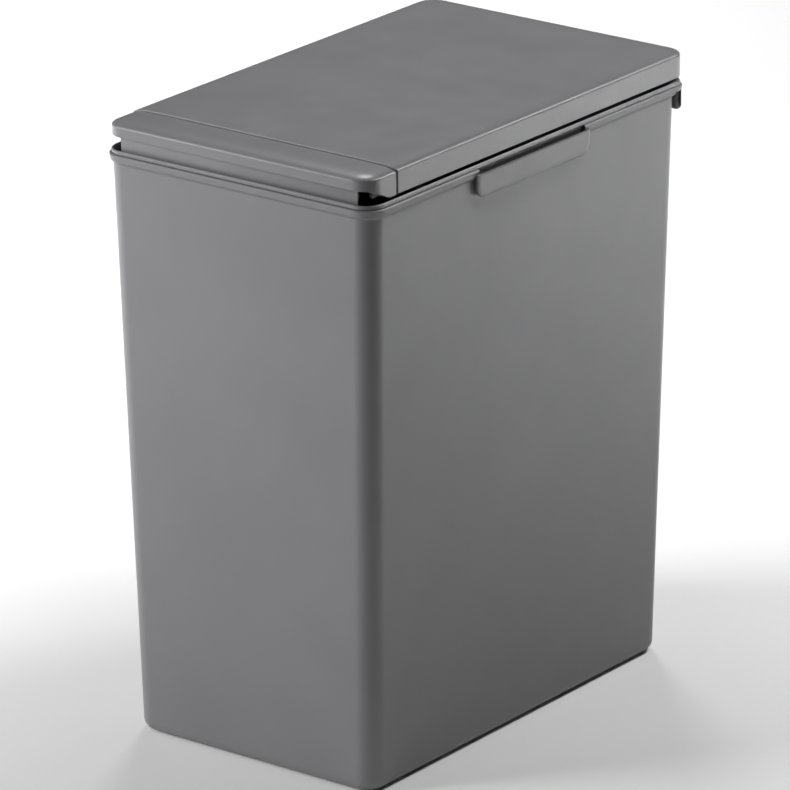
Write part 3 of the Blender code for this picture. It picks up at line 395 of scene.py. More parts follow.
def quarter(steps):
    # Cosine and sine at even steps over a quarter turn
    angles = [math.pi / 2 * step / steps for step in range(steps + 1)]
    return [(math.cos(angle), math.sin(angle)) for angle in angles]


def arc(u, v, radius, start):
    # Quarter of a circle, anticlockwise from an angle in degrees
    points = []
    for step in range(CORNER_STEPS + 1):
        angle = math.radians(start + 90 * step / CORNER_STEPS)
        points.append((u + radius * math.cos(angle), v + radius * math.sin(angle)))
    return points


def span(side, first, last):
    # Low and high end along X of a stretch on one side of the middle
    return sorted((side * first, side * last))


def shrunk(line, inset):
    # Outline sizes at a distance inside a line
    return tuple(value - inset for value in line)


def outline(half_x, front, rear, radius):
    # Rounded rectangle, anticlockwise from the front right corner
    centres = (
        (half_x - radius, -front + radius, -90),
        (half_x - radius, rear - radius, 0),
        (-half_x + radius, rear - radius, 90),
        (-half_x + radius, -front + radius, 180),
    )
    points = []
    for x, y, start in centres:
        points += arc(x, y, radius, start)
    return points


def section(half_x, front, rear, radius, z, rise=None):
    # One closed loop of 3-D points at height z, with an optional rise over each place
    loop = []
    for x, y in outline(half_x, front, rear, max(radius, CORNER_MIN)):
        lift = rise(x, y) if rise else 0
        loop.append((x, y, z + lift))
    return loop


def softened(profile, ring=False):
    # Rounds the corners of a profile of (outline sizes, height, edge radius)
    points = [(*line, z) for line, z, _ in profile]
    count = len(points)
    result = []
    for i, (_, _, soft) in enumerate(profile):
        here = points[i]
        ends = not ring and i in (0, count - 1)
        if soft == 0 or ends:
            result.append(here)
            continue
        reaches = []
        for other in (points[i - 1], points[(i + 1) % count]):
            step = [b - a for a, b in zip(here, other)]
            length = math.hypot(step[0], step[-1])
            reach = min(soft, REACH_SHARE * length)
            hold = min(reach * SUPPORT_SHARE, length / 2)
            near = [a + s * reach / length for a, s in zip(here, step)]
            far = [a + s * hold / length for a, s in zip(here, step)]
            reaches.append((near, far))
        (first, first_far), (last, last_far) = reaches
        result.append(tuple(first_far))
        for k in range(EDGE_STEPS + 1):
            t = k / EDGE_STEPS
            point = [
                (1 - t) ** 2 * a + 2 * t * (1 - t) * b + t * t * c
                for a, b, c in zip(first, here, last)
            ]
            result.append(tuple(point))
        result.append(tuple(last_far))
    return [section(*values) for values in result]


def add_object(name, data):
    # A new object in the scene
    thing = bpy.data.objects.new(name, data)
    bpy.context.scene.collection.objects.link(thing)
    return thing


def finish_mesh(name, data):
    # A named object from a bmesh, smooth where its faces meet at a low angle
    bmesh.ops.recalc_face_normals(data, faces=data.faces)
    mesh = bpy.data.meshes.new(name)
    data.to_mesh(mesh)
    data.free()
    shade(mesh)
    return add_object(name, mesh)


def shade(mesh):
    # Smooth shading, sharp only where the faces meet at a high angle
    mesh.shade_smooth()
    mesh.set_sharp_from_angle(angle=math.radians(SMOOTH_LIMIT))


def skin(data, loops, ring=False, layer=None, values=None):
    # Faces between loops of equal length, with an optional value on each loop's points
    rows = [[data.verts.new(point) for point in loop] for loop in loops]
    if layer:
        for row, value in zip(rows, values):
            for vert in row:
                vert[layer] = value
    count = len(loops[0])
    pairs = list(zip(rows, rows[1:]))
    if ring:
        pairs.append((rows[-1], rows[0]))
    for low, high in pairs:
        for i in range(count):
            j = (i + 1) % count
            data.faces.new((low[i], low[j], high[j], high[i]))
    if not ring:
        caps = [data.faces.new(rows[0]), data.faces.new(rows[-1])]
        bmesh.ops.triangulate(data, faces=caps)


def loft(name, loops, ring=False):
    # Solid through a row of loops; with ring the last loop joins the first
    data = bmesh.new()
    skin(data, loops, ring)
    return finish_mesh(name, data)


def prism(name, points, low, high, axis):
    # Extrusion of a flat outline along one axis; the outline is in the other two, in order
    def place(u, v, w):
        if axis == "x":
            return (w, u, v)
        if axis == "y":
            return (u, w, v)
        return (u, v, w)

    data = bmesh.new()
    first = [data.verts.new(place(u, v, low)) for u, v in points]
    last = [data.verts.new(place(u, v, high)) for u, v in points]
    count = len(points)
    for i in range(count):
        j = (i + 1) % count
        data.faces.new((first[i], first[j], last[j], last[i]))
    data.faces.new(first)
    data.faces.new(last)
    return finish_mesh(name, data)


def block(name, low, high):
    # Box between two opposite corners
    points = [(low[0], low[1]), (high[0], low[1]), (high[0], high[1]), (low[0], high[1])]
    return prism(name, points, low[2], high[2], "z")


def circle(u, v, radius, steps=ROUND_STEPS):
    # Even points round a circle
    points = []
    for i in range(steps):
        angle = 2 * math.pi * i / steps
        points.append((u + radius * math.cos(angle), v + radius * math.sin(angle)))
    return points


def rounded_bottom(low_u, high_u, low_v, high_v, radius):
    # Outline with two round lower corners and square upper ones
    left = arc(low_u + radius, low_v + radius, radius, 180)
    right = arc(high_u - radius, low_v + radius, radius, 270)
    return [(high_u, high_v), (low_u, high_v), *left, *right]


def evaluated_mesh(thing):
    # The mesh that an object's modifiers or curve settings give
    bpy.context.view_layer.update()
    graph = bpy.context.evaluated_depsgraph_get()
    return bpy.data.meshes.new_from_object(thing.evaluated_get(graph))


def bake(thing):
    # Applies the modifiers of an object to its mesh
    mesh = evaluated_mesh(thing)
    thing.modifiers.clear()
    thing.data = mesh
    shade(mesh)
    return thing


def rounded(thing, width, steps=BEVEL_STEPS, limit=BEVEL_LIMIT):
    # Small round edges on a plain solid
    edge = thing.modifiers.new("edge", "BEVEL")
    edge.width = width
    edge.segments = steps
    edge.limit_method = "ANGLE"
    edge.angle_limit = math.radians(limit)
    return bake(thing)


def combine(target, tool, operation):
    # Boolean of a target with a tool, which is used up
    change = target.modifiers.new("change", "BOOLEAN")
    change.operation = operation
    change.solver = "EXACT"
    change.object = tool
    bake(target)
    bpy.data.objects.remove(tool)


def cut(target, tool):
    # Takes the tool's shape away
    combine(target, tool, "DIFFERENCE")


def join(target, tool):
    # Adds the tool's shape
    combine(target, tool, "UNION")


def bucket_wall(z, inset=0.0):
    # Half width, front and rear of the tapered wall at one height
    share = z / BAND_BOTTOM
    half_x = BASE_HALF_X + (WALL_HALF_X - BASE_HALF_X) * share
    front = BASE_FRONT + (WALL_FRONT - BASE_FRONT) * share
    rear = BASE_REAR + (WALL_REAR - BASE_REAR) * share
    return half_x - inset, front - inset, rear - inset, BUCKET_CORNER - inset


def frame_line(inset=0.0):
    # Outer line of the frame
    half_x = FRAME_HALF_X - inset
    half_y = FRAME_HALF_Y - inset
    return half_x, half_y, half_y, FRAME_CORNER - inset


def make_bucket():
    # Outer skin from the foot up to the rim band, then the inner skin down to the floor
    profile = [
        (bucket_wall(0, BASE_FILLET + FOOT_WIDTH + FOOT_HEIGHT), FOOT_HEIGHT, 0),
        (bucket_wall(0, BASE_FILLET + FOOT_WIDTH), 0, LIP_EDGE),
    ]
    for cosine, sine in quarter(FILLET_STEPS):
        z = BASE_FILLET * (1 - cosine)
        profile.append((bucket_wall(z, BASE_FILLET * (1 - sine)), z, 0))
    wall_top = BAND_BOTTOM - BAND_COVE
    for step in range(1, WALL_LOOPS):
        z = BASE_FILLET + (wall_top - BASE_FILLET) * step / WALL_LOOPS
        profile.append((bucket_wall(z), z, 0))
    z = RIM_TOP - SEAT_HEIGHT
    profile += [
        (bucket_wall(BAND_BOTTOM), wall_top, COVE_EDGE),
        (frame_line(BAND_TAPER - BAND_OVERHANG), BAND_BOTTOM, BAND_FOOT_EDGE),
        (frame_line(-BAND_OVERHANG), RIM_TOP - BAND_TOP_FACET, FACET_EDGE),
        (frame_line(BAND_TOP_FACET - BAND_OVERHANG), RIM_TOP, FACET_EDGE),
        (bucket_wall(RIM_TOP), RIM_TOP, FINE_EDGE),
        (bucket_wall(z, BUCKET_WALL), z, LIP_EDGE),
    ]
    z = BUCKET_FLOOR + INNER_FILLET
    for cosine, sine in quarter(FILLET_STEPS):
        inset = BUCKET_WALL + INNER_FILLET * (1 - cosine)
        level = z - INNER_FILLET * sine
        profile.append((bucket_wall(level, inset), level, 0))
    bucket = loft("bucket_body", softened(profile))
    add_rear_skirt(bucket)
    for name, side in SIDES:
        add_grip(bucket, name, side)
    return bucket


def add_rear_skirt(bucket):
    # Deep skirt below the rear rim, wrapping a little way round the corners
    top = BAND_BOTTOM + BAND_HEIGHT / 2
    bottom = BAND_BOTTOM - REAR_SKIRT_DEPTH
    outer = frame_line(REAR_SKIRT_STEP + BAND_TAPER / 2 - BAND_OVERHANG)
    inner = frame_line(REAR_SKIRT_WALL - BAND_OVERHANG)
    loops = [section(*outer, bottom), section(*outer, top), section(*inner, top), section(*inner, bottom)]
    skirt = loft("rear_skirt_tool", loops, ring=True)
    shape = rounded_bottom(-REAR_SKIRT_HALF, REAR_SKIRT_HALF, bottom, top + OVERRUN, REAR_SKIRT_ROUND)
    end = FRAME_HALF_Y + BAND_OVERHANG - REAR_SKIRT_SETBACK
    window = prism("rear_skirt_window", shape, end, FRAME_DEPTH, "y")
    combine(skirt, window, "INTERSECT")
    join(bucket, skirt)
    # Hollow curve by which the band's foot runs down into the skirt's end
    cove = loft("rear_cove_tool", loops, ring=True)
    shape = [(end - REAR_COVE_LENGTH, top + OVERRUN), (end + BORE_GAP, top + OVERRUN)]
    shape.append((end + BORE_GAP, BAND_BOTTOM - REAR_COVE_DROP))
    for cosine, sine in quarter(FILLET_STEPS):
        y = end - REAR_COVE_LENGTH * (1 - cosine)
        shape.append((y, BAND_BOTTOM - REAR_COVE_DROP * (1 - sine)))
    combine(cove, prism("rear_cove_window", shape, -FRAME_WIDTH, FRAME_WIDTH, "x"), "INTERSECT")
    join(bucket, cove)


def grip_outline(side, x, inset):
    # Outline of the grip's face at one depth; the lip along its top is round on the outside
    face = WALL_HALF_X + GRIP_PROUD
    top = BAND_BOTTOM + GRIP_WALL
    beyond = max(x - face + GRIP_LIP_ROUND, 0)
    lip = top - GRIP_LIP_ROUND + math.sqrt(GRIP_LIP_ROUND**2 - min(beyond, GRIP_LIP_ROUND) ** 2)
    low = top - GRIP_HEIGHT + inset
    line = rounded_bottom(-GRIP_FRONT + inset, GRIP_REAR - inset, low, lip, GRIP_ROUND - inset)
    return [(side * x, y, z) for y, z in line]


def add_grip(bucket, name, side):
    # Shallow pouch standing proud of the side wall, open at the top below the frame; its face
    # overhangs the pouch and is softly crowned towards its ends and its bottom
    face = WALL_HALF_X + GRIP_PROUD
    back = face - GRIP_WALL
    top = BAND_BOTTOM + GRIP_WALL
    bottom = top - GRIP_HEIGHT
    loops = [grip_outline(side, back, 0)]
    for cosine, sine in quarter(FILLET_STEPS):
        inset = GRIP_CROWN_WIDTH * (1 - cosine)
        loops.append(grip_outline(side, face - GRIP_CROWN * (1 - sine), inset))
    pouch = loft("grip_tool_" + name, loops)
    core_shape = rounded_bottom(
        -GRIP_FRONT + GRIP_UNDERCUT,
        GRIP_REAR - GRIP_UNDERCUT,
        bottom + GRIP_UNDERCUT,
        top - TOUCH_GAP,
        GRIP_ROUND - GRIP_UNDERCUT,
    )
    low, high = span(side, WALL_HALF_X - BUCKET_WALL / 2, back + TOUCH_GAP)
    join(pouch, prism("grip_core_" + name, core_shape, low, high, "x"))
    join(bucket, pouch)
    slot_shape = rounded_bottom(
        -GRIP_FRONT + GRIP_END_WALL,
        GRIP_REAR - GRIP_END_WALL,
        bottom + GRIP_UNDERCUT + GRIP_FLOOR,
        top + TOUCH_GAP,
        GRIP_ROUND - GRIP_END_WALL,
    )
    pocket_root = back - GRIP_SLOT
    low, high = span(side, pocket_root, back)
    cut(bucket, prism("grip_pocket_" + name, slot_shape, low, high, "x"))
    low, high = span(side, pocket_root + BORE_GAP, face + OVERRUN)
    start = (low, -GRIP_FRONT + GRIP_END_WALL - TOUCH_GAP, top - TOUCH_GAP)
    end = (high, GRIP_REAR - GRIP_END_WALL + TOUCH_GAP, RIM_TOP + OVERRUN)
    cut(bucket, block("grip_slot_" + name, start, end))


def make_frame():
    # Ring and skirt in one closed loft, with hinge knuckles, buffer seats and the plate's notch
    top_line = (
        FRAME_HALF_X - FRAME_EDGE - FRAME_LAND,
        FRAME_HALF_Y - FRAME_EDGE - FRAME_LAND,
        SKIRT_REAR + DECK_LIP,
        FRAME_CORNER - FRAME_EDGE - FRAME_LAND,
    )
    chamfer_line = shrunk(top_line, FRAME_CHAMFER)
    skirt_line = (SKIRT_HALF_X, SKIRT_FRONT, SKIRT_REAR, BUCKET_CORNER - BUCKET_WALL)
    inner_line = shrunk(skirt_line, SKIRT_WALL)
    ring_foot = RIM_TOP + PARTING_GAP
    profile = [
        (frame_line(), ring_foot, FINE_EDGE),
        (frame_line(), FRAME_TOP - FRAME_TOP_FACET, FACET_EDGE),
        (frame_line(FRAME_TOP_FACET), FRAME_TOP, FACET_EDGE),
        (top_line, FRAME_TOP, FINE_EDGE),
        (chamfer_line, FRAME_TOP - FRAME_CHAMFER, LIP_EDGE),
        (inner_line, FRAME_TOP - FRAME_CHAMFER - SKIRT_SLOPE, COVE_EDGE),
        (inner_line, SKIRT_BOTTOM, LIP_EDGE),
        (skirt_line, SKIRT_BOTTOM, LIP_EDGE),
        (skirt_line, FRAME_BOTTOM - SEAT_HEIGHT - SEAT_EASE, FINE_EDGE),
        (bucket_wall(RIM_TOP, TOUCH_GAP), ring_foot, 0),
    ]
    ring = loft("frame_ring", softened(profile, ring=True), ring=True)
    for name, side in SIDES:
        for number, start in enumerate((STATION_INNER, OUTER_KNUCKLE)):
            low, high = span(side, start, start + KNUCKLE_WIDTH)
            tag = name + "_" + str(number)
            half = BARREL_RADIUS - FRAME_EDGE
            web_low = (low, HINGE_Y - half, FRAME_TOP - FRAME_CHAMFER)
            web_high = (high, HINGE_Y + half, HINGE_Z)
            knuckle = block("knuckle_web_" + tag, web_low, web_high)
            barrel = circle(HINGE_Y, HINGE_Z, BARREL_RADIUS)
            join(knuckle, prism("knuckle_" + tag, barrel, low, high, "x"))
            join(ring, knuckle)
        bore = circle(HINGE_Y, HINGE_Z, HINGE_PIN_RADIUS + BORE_GAP)
        low, high = span(side, STATION_INNER - OVERRUN, STATION_OUTER + OVERRUN)
        cut(ring, prism("knuckle_bore_" + name, bore, low, high, "x"))
        x, y = buffer_place(side)
        root = SKIRT_HALF_X + 3 * TOUCH_GAP
        low, high = span(side, root, SKIRT_HALF_X - SKIRT_WALL - BUFFER_INSET)
        seat_top = FRAME_TOP - BUFFER_SEAT_BELOW
        start = (low, y - BUFFER_SEAT_HALF, seat_top - BUFFER_SEAT_WALL)
        end = (high, y + BUFFER_SEAT_HALF, seat_top)
        join(ring, rounded(block("buffer_seat_" + name, start, end), TOOL_EDGE))
    half = PLATE_HALF + NOTCH_SIDE_GAP
    start = (-half, PLATE_Y - NOTCH_FRONT_GAP, NOTCH_BOTTOM)
    end = (half, HOOK_Y, FRAME_TOP + OVERRUN)
    cut(ring, block("plate_notch", start, end))
    return ring


def buffer_place(side):
    # Middle of a buffer on its seat inside the frame
    return side * (SKIRT_HALF_X - SKIRT_WALL - BUFFER_INSET / 2), -FRAME_HALF_Y + BUFFER_BACK


def lid_line(inset):
    # Outline sizes of the lid at a distance in from its side
    return LID_HALF_X - inset, LID_FRONT - inset, LID_REAR - inset, LID_CORNER - inset


def crown(x, y):
    # Broad arch over the lid, zero along its edge
    centre = (LID_REAR - LID_FRONT) / 2
    half_y = (LID_REAR + LID_FRONT) / 2
    across = 1 - (x / LID_HALF_X) ** 2
    along = 1 - ((y - centre) / half_y) ** 2
    return CROWN_RISE * max(across, 0) * max(along, 0)


def roll(inset):
    # Height of the rolled edge above the side wall at a distance in from it
    share = min(inset / ROLL_WIDTH, 1)
    return ROLL_RISE * math.sqrt(1 - (1 - share) ** ROLL_POWER)


def lid_insets(first):
    # Distances in from the side, close together where the edge rolls over
    insets = [first + (ROLL_WIDTH - first) * share for share in ROLL_SHARES]
    flat = LID_HALF_X - ROLL_WIDTH
    insets += [ROLL_WIDTH + flat * share for share in CROWN_SHARES]
    return insets


def lid_blank(data, layer, edge):
    # The crowned shell that the lid and the bar are both cut from; the layer marks its outer skin
    lip = [
        (lid_line(LID_WALL), LID_BOTTOM + LID_WALL, 0),
        (lid_line(LID_WALL), LID_BOTTOM, FINE_EDGE),
        (lid_line(0), LID_BOTTOM, LIP_EDGE),
        (lid_line(0), LID_BOTTOM + LID_WALL, 0),
    ]
    loops = []
    for inset in lid_insets(LID_WALL)[::-1]:
        loops.append(section(*lid_line(inset), edge + roll(inset) - LID_WALL, crown))
    loops.append(section(*lid_line(LID_WALL), edge + roll(LID_WALL) - LID_WALL))
    lip_loops = softened(lip)
    inner_count = len(loops) + len(lip_loops) // 2
    loops += lip_loops
    loops += [section(*lid_line(0), edge - LIP_EDGE), section(*lid_line(0), edge)]
    for inset in lid_insets(0):
        loops.append(section(*lid_line(inset), edge + roll(inset), crown))
    values = [0.0] * inner_count + [1.0] * (len(loops) - inner_count)
    skin(data, loops, layer=layer, values=values)
    bmesh.ops.recalc_face_normals(data, faces=data.faces)


def slice_at(data, y, clear_front=False, clear_rear=False):
    # Cuts the mesh along a plane across Y and clears one side of it if asked
    return bmesh.ops.bisect_plane(
        data,
        geom=data.verts[:] + data.edges[:] + data.faces[:],
        plane_co=(0, y, 0),
        plane_no=(0, 1, 0),
        clear_outer=clear_rear,
        clear_inner=clear_front,
    )


def close_cut(data, result):
    # Fills the open end that a cut leaves
    edges = [part for part in result["geom_cut"] if isinstance(part, bmesh.types.BMEdge)]
    bmesh.ops.triangle_fill(data, edges=edges, use_beauty=True)


def soften_seam(data, layer, seam, way):
    # Pulls the outer skin in along its normal over the last stretch before the seam
    data.normal_update()
    moves = []
    for vert in data.verts:
        distance = (vert.co.y - seam) * way
        if vert[layer] > OUTER_SKIN_MIN and -BORE_GAP < distance < SEAM_EDGE:
            depth = SEAM_EDGE - max(distance, 0)
            drop = SEAM_EDGE - math.sqrt(SEAM_EDGE ** 2 - depth ** 2)
            moves.append((vert, drop))
    for vert, drop in moves:
        normal = Vector((vert.normal.x, 0, vert.normal.z)).normalized()
        vert.co -= normal * drop


def cut_seam(data, layer, seam, way):
    # Loops close to the seam, the softened edge, then the cut itself
    for share in SEAM_SHARES:
        slice_at(data, seam + way * SEAM_EDGE * share)
    slice_at(data, seam)
    soften_seam(data, layer, seam, way)
    result = slice_at(data, seam, clear_front=way > 0, clear_rear=way < 0)
    close_cut(data, result)


def boss_places():
    # Where each screw of the lining starts; the others follow below in the same way
    return [(side * BOSS_SIDE, y, LINING_BOTTOM - TOUCH_GAP) for _, side in SIDES for y in BOSS_ROWS]


def leaf_screw_places():
    places = []
    for _, side in SIDES:
        for x in (STATION_INNER + BOSS_RADIUS * 2, STATION_OUTER):
            places.append((side * x, HINGE_Y - LEAF_SCREW_SETBACK, LEAF_BOTTOM - TOUCH_GAP))
    return places


def drill(target, places, size, low, high):
    # Clearance holes along Z for screws
    for number, (x, y, _) in enumerate(places):
        bore = circle(x, y, size[SHANK] + SCREW_HOLE_GAP)
        cut(target, prism("bore_" + str(number), bore, low, high, "z"))


def add_bosses(target, places, radius, size, low, screw_start):
    # Round screw bosses under a shell, each with its blind hole
    for number, (x, y, _) in enumerate(places):
        join(target, prism("boss_" + str(number), circle(x, y, radius), low, BOSS_TOP, "z"))
    drill(target, places, size, low - OVERRUN, screw_start + size[LENGTH] + OVERRUN)


def make_lid():
    # Rear part of the crowned blank, with its hinge notches and screw bosses
    data = bmesh.new()
    layer = data.verts.layers.float.new("outer_skin")
    lid_blank(data, layer, LID_EDGE)
    cut_seam(data, layer, SEAM_Y + SEAM_GAP / 2, 1)
    lid = finish_mesh("lid_top", data)
    for name, side in SIDES:
        low, high = span(side, STATION_INNER - NOTCH_MARGIN, PIN_END + NOTCH_MARGIN)
        start = (low, LID_REAR - 2 * LID_WALL, LID_BOTTOM - OVERRUN)
        end = (high, LID_REAR + OVERRUN, LID_BOTTOM + NOTCH_HEIGHT)
        cut(lid, block("hinge_notch_" + name, start, end))
    low = LINING_TOP + TOUCH_GAP
    add_bosses(lid, boss_places(), BOSS_RADIUS, LINING_SCREW, low, LINING_BOTTOM)
    low = LEAF_TOP + TOUCH_GAP
    add_bosses(lid, leaf_screw_places(), BAR_BOSS_RADIUS, BOSS_SCREW, low, LEAF_BOTTOM)
    return lid


def bar_boss_places():
    y = -LID_FRONT + BAR_BOSS_SETBACK
    return [(BAR_BOSS_SIDE * share, y, CARRIER_BOTTOM - TOUCH_GAP) for share in BAR_BOSS_SHARES]


def bar_bottom(y):
    # Lower edge of the bar: short at the front, deep at the sides, with a straight slope between
    front = -LID_FRONT + BAR_RELIEF_FRONT
    rear = -LID_FRONT + BAR_RELIEF_REAR
    share = min(max((y - front) / (rear - front), 0), 1)
    top = LID_EDGE - BAR_FACE
    bottom = LID_BOTTOM - BAR_SIDE_DROP
    return top + (bottom - top) * share


def make_bar():
    # Front part of the crowned blank, with its lower edge moved up towards the front
    data = bmesh.new()
    layer = data.verts.layers.float.new("outer_skin")
    lid_blank(data, layer, BAR_EDGE)
    front = -LID_FRONT + BAR_RELIEF_FRONT
    rear = -LID_FRONT + BAR_RELIEF_REAR
    for step in range(BAR_BOTTOM_CUTS + 1):
        slice_at(data, front + (rear - front) * step / BAR_BOTTOM_CUTS)
    # The lip gets lower where the bar's face is less than half as high as the lid's side
    lip_share = min(1, BAR_FACE / LID_SKIRT * 2)
    for vert in data.verts:
        over = vert.co.z - LID_BOTTOM
        if over < LID_WALL + BORE_GAP:
            vert.co.z = bar_bottom(vert.co.y) + over * lip_share
    cut_seam(data, layer, SEAM_Y - SEAM_GAP / 2, -1)
    bar = finish_mesh("bar_top", data)
    low = CARRIER_TOP + TOUCH_GAP
    add_bosses(bar, bar_boss_places(), BAR_BOSS_RADIUS, BOSS_SCREW, low, CARRIER_BOTTOM)
    return bar


def plate_screw_places():
    y = PLATE_Y + PLATE_WALL + PLATE_FLANGE / 2
    low = FLANGE_TOP - PLATE_FLANGE_WALL - TOUCH_GAP
    places = (-PLATE_SCREW_SIDE, -PLATE_SCREW_INNER, PLATE_SCREW_INNER, PLATE_SCREW_SIDE)
    return [(x, y, low) for x in places]


def hook_screw_places():
    y = HOOK_Y + HOOK_SCREW_SETBACK
    low = FLANGE_TOP - HOOK_FOOT_WALL - TOUCH_GAP
    return [(side * HOOK_SCREW_SIDE, y, low) for _, side in SIDES]


def catch_screw_places():
    y = -SKIRT_FRONT + SKIRT_WALL + TOUCH_GAP + CATCH_WALL + TOUCH_GAP
    z = SKIRT_BOTTOM + CATCH_LIFT + CATCH_HEIGHT / 2
    return [(side * CATCH_SCREW_SIDE, y, z) for _, side in SIDES]


def make_plate():
    # Front plate that dips inside the frame, with a flange under the carrier
    flange_low = FLANGE_TOP - PLATE_FLANGE_WALL
    shape = [
        (PLATE_Y, PLATE_BOTTOM),
        (PLATE_Y + PLATE_WALL, PLATE_BOTTOM),
        (PLATE_Y + PLATE_WALL, flange_low),
        (PLATE_Y + PLATE_WALL + PLATE_FLANGE, flange_low),
        (PLATE_Y + PLATE_WALL + PLATE_FLANGE, FLANGE_TOP),
        (PLATE_Y, FLANGE_TOP),
    ]
    plate = prism("plate_face", shape, -PLATE_HALF, PLATE_HALF, "x")
    rounded(plate, FINE_EDGE)
    drill(plate, plate_screw_places(), SMALL_SCREW, flange_low - OVERRUN, FLANGE_TOP + OVERRUN)
    return plate


def lathe(data, profile, steps):
    # Turned solid round Z from (radius, height) points
    loops = [[(u, v, z) for u, v in circle(0, 0, radius, steps)] for radius, z in profile]
    skin(data, loops)


def screw_mesh(name, size):
    # Pan head with a cross recess and a threaded shank with a point
    shank, head, head_height, length = size
    data = bmesh.new()
    profile = []
    for cosine, sine in quarter(EDGE_STEPS):
        radius = head * (HEAD_FLAT_SHARE + (1 - HEAD_FLAT_SHARE) * sine)
        profile.append((radius, -head_height * (HEAD_RIM_SHARE + (1 - HEAD_RIM_SHARE) * cosine)))
    profile += [(head, 0), (shank, 0)]
    root = shank * THREAD_ROOT_SHARE
    pitch = shank * THREAD_PITCH_SHARE
    for turn in range(int(length * THREAD_LENGTH_SHARE / pitch)):
        profile += [(root, pitch * (turn + 0.5)), (shank, pitch * (turn + 1))]
    profile += [(root, length * POINT_START_SHARE), (shank * POINT_SHARE, length)]
    lathe(data, profile, ROUND_STEPS // 2)
    thing = finish_mesh(name, data)
    arm = head * RECESS_SHARE
    width = head * RECESS_WIDTH_SHARE
    deep = -head_height * RECESS_FLOOR_SHARE
    for wide, tall in ((arm, width), (width, arm)):
        cut(thing, block("recess", (-wide, -tall, -head_height - OVERRUN), (wide, tall, deep)))
    return thing


def make_screws(name, places, size, direction):
    # Objects that share one screw mesh, each with the name of its CAD node
    first = screw_mesh(name + "_mesh", size)
    made = []
    for number, place in enumerate(places, start=1):
        node = name + "_" + str(number)
        thing = add_object("look_" + node, first.data)
        thing.location = place
        if direction == "front":
            thing.rotation_euler = (math.radians(90), 0, 0)
        made.append((thing, node))
    bpy.data.objects.remove(first)
    return made


def coil(name, points, radius):
    # Mesh of a round wire along a route
    curve = bpy.data.curves.new(name + "_route", "CURVE")
    curve.dimensions = "3D"
    curve.bevel_depth = radius
    curve.bevel_resolution = WIRE_STEPS
    curve.use_fill_caps = True
    line = curve.splines.new("POLY")
    line.points.add(len(points) - 1)
    for target, point in zip(line.points, points):
        target.co = (*point, 1)
    route = add_object(name + "_route", curve)
    mesh = evaluated_mesh(route)
    bpy.data.objects.remove(route)
    for face in mesh.polygons:
        face.use_smooth = True
    return add_object(name, mesh)


def lid_spring(name, side):
    # Torsion spring beside the hinge, one leg towards the frame and one towards the leaf
    start = STATION_OUTER + LID_SPRING_START
    lower = FRAME_TOP + LID_SPRING_WIRE + TOUCH_GAP
    upper = LEAF_BOTTOM - LID_SPRING_WIRE - TOUCH_GAP
    points = [(side * start, HINGE_Y - LID_SPRING_LEG, lower)]
    sweep = math.pi * (2 * LID_SPRING_TURNS + 1)
    total = LID_SPRING_TURNS * COIL_STEPS
    for step in range(total + 1):
        share = step / total
        y = HINGE_Y + LID_SPRING_COIL * math.sin(sweep * share)
        z = HINGE_Z - LID_SPRING_COIL * math.cos(sweep * share)
        points.append((side * (start + LID_SPRING_WIDTH * share), y, z))
    points.append((side * (start + LID_SPRING_WIDTH), HINGE_Y - LID_SPRING_LEG, upper))
    return coil("hinge_coil_" + name, points, LID_SPRING_WIRE)


def bar_spring(name, side):
    # Compression spring between the lining's shelf and the bar's carrier
    y = -LID_FRONT + RETURN_SETBACK
    low = LINING_TOP + TOUCH_GAP + RETURN_WIRE
    high = CARRIER_BOTTOM - TOUCH_GAP - RETURN_WIRE
    total = RETURN_TURNS * COIL_STEPS
    points = []
    for step in range(total + 1):
        share = step / total
        angle = 2 * math.pi * RETURN_TURNS * share
        x = side * RETURN_SIDE + RETURN_COIL * math.cos(angle)
        points.append((x, y + RETURN_COIL * math.sin(angle), low + (high - low) * share))
    return coil("bar_coil_" + name, points, RETURN_WIRE)


def pin(name, y, z, radius, low, high):
    # Steel pin along X with chamfered ends
    thing = prism(name, circle(y, z, radius), low, high, "x")
    return rounded(thing, radius * PIN_EDGE_SHARE, PIN_EDGE_STEPS, TURNED_LIMIT)


def make_buffer(name, side):
    # Round rubber pad between the frame and the closed lid
    x, y = buffer_place(side)
    low = FRAME_TOP - BUFFER_SEAT_BELOW + TOUCH_GAP
    high = LINING_BOTTOM - TOUCH_GAP
    thing = prism("buffer_pad_" + name, circle(x, y, BUFFER_RADIUS), low, high, "z")
    return rounded(thing, TOOL_EDGE, limit=TURNED_LIMIT)


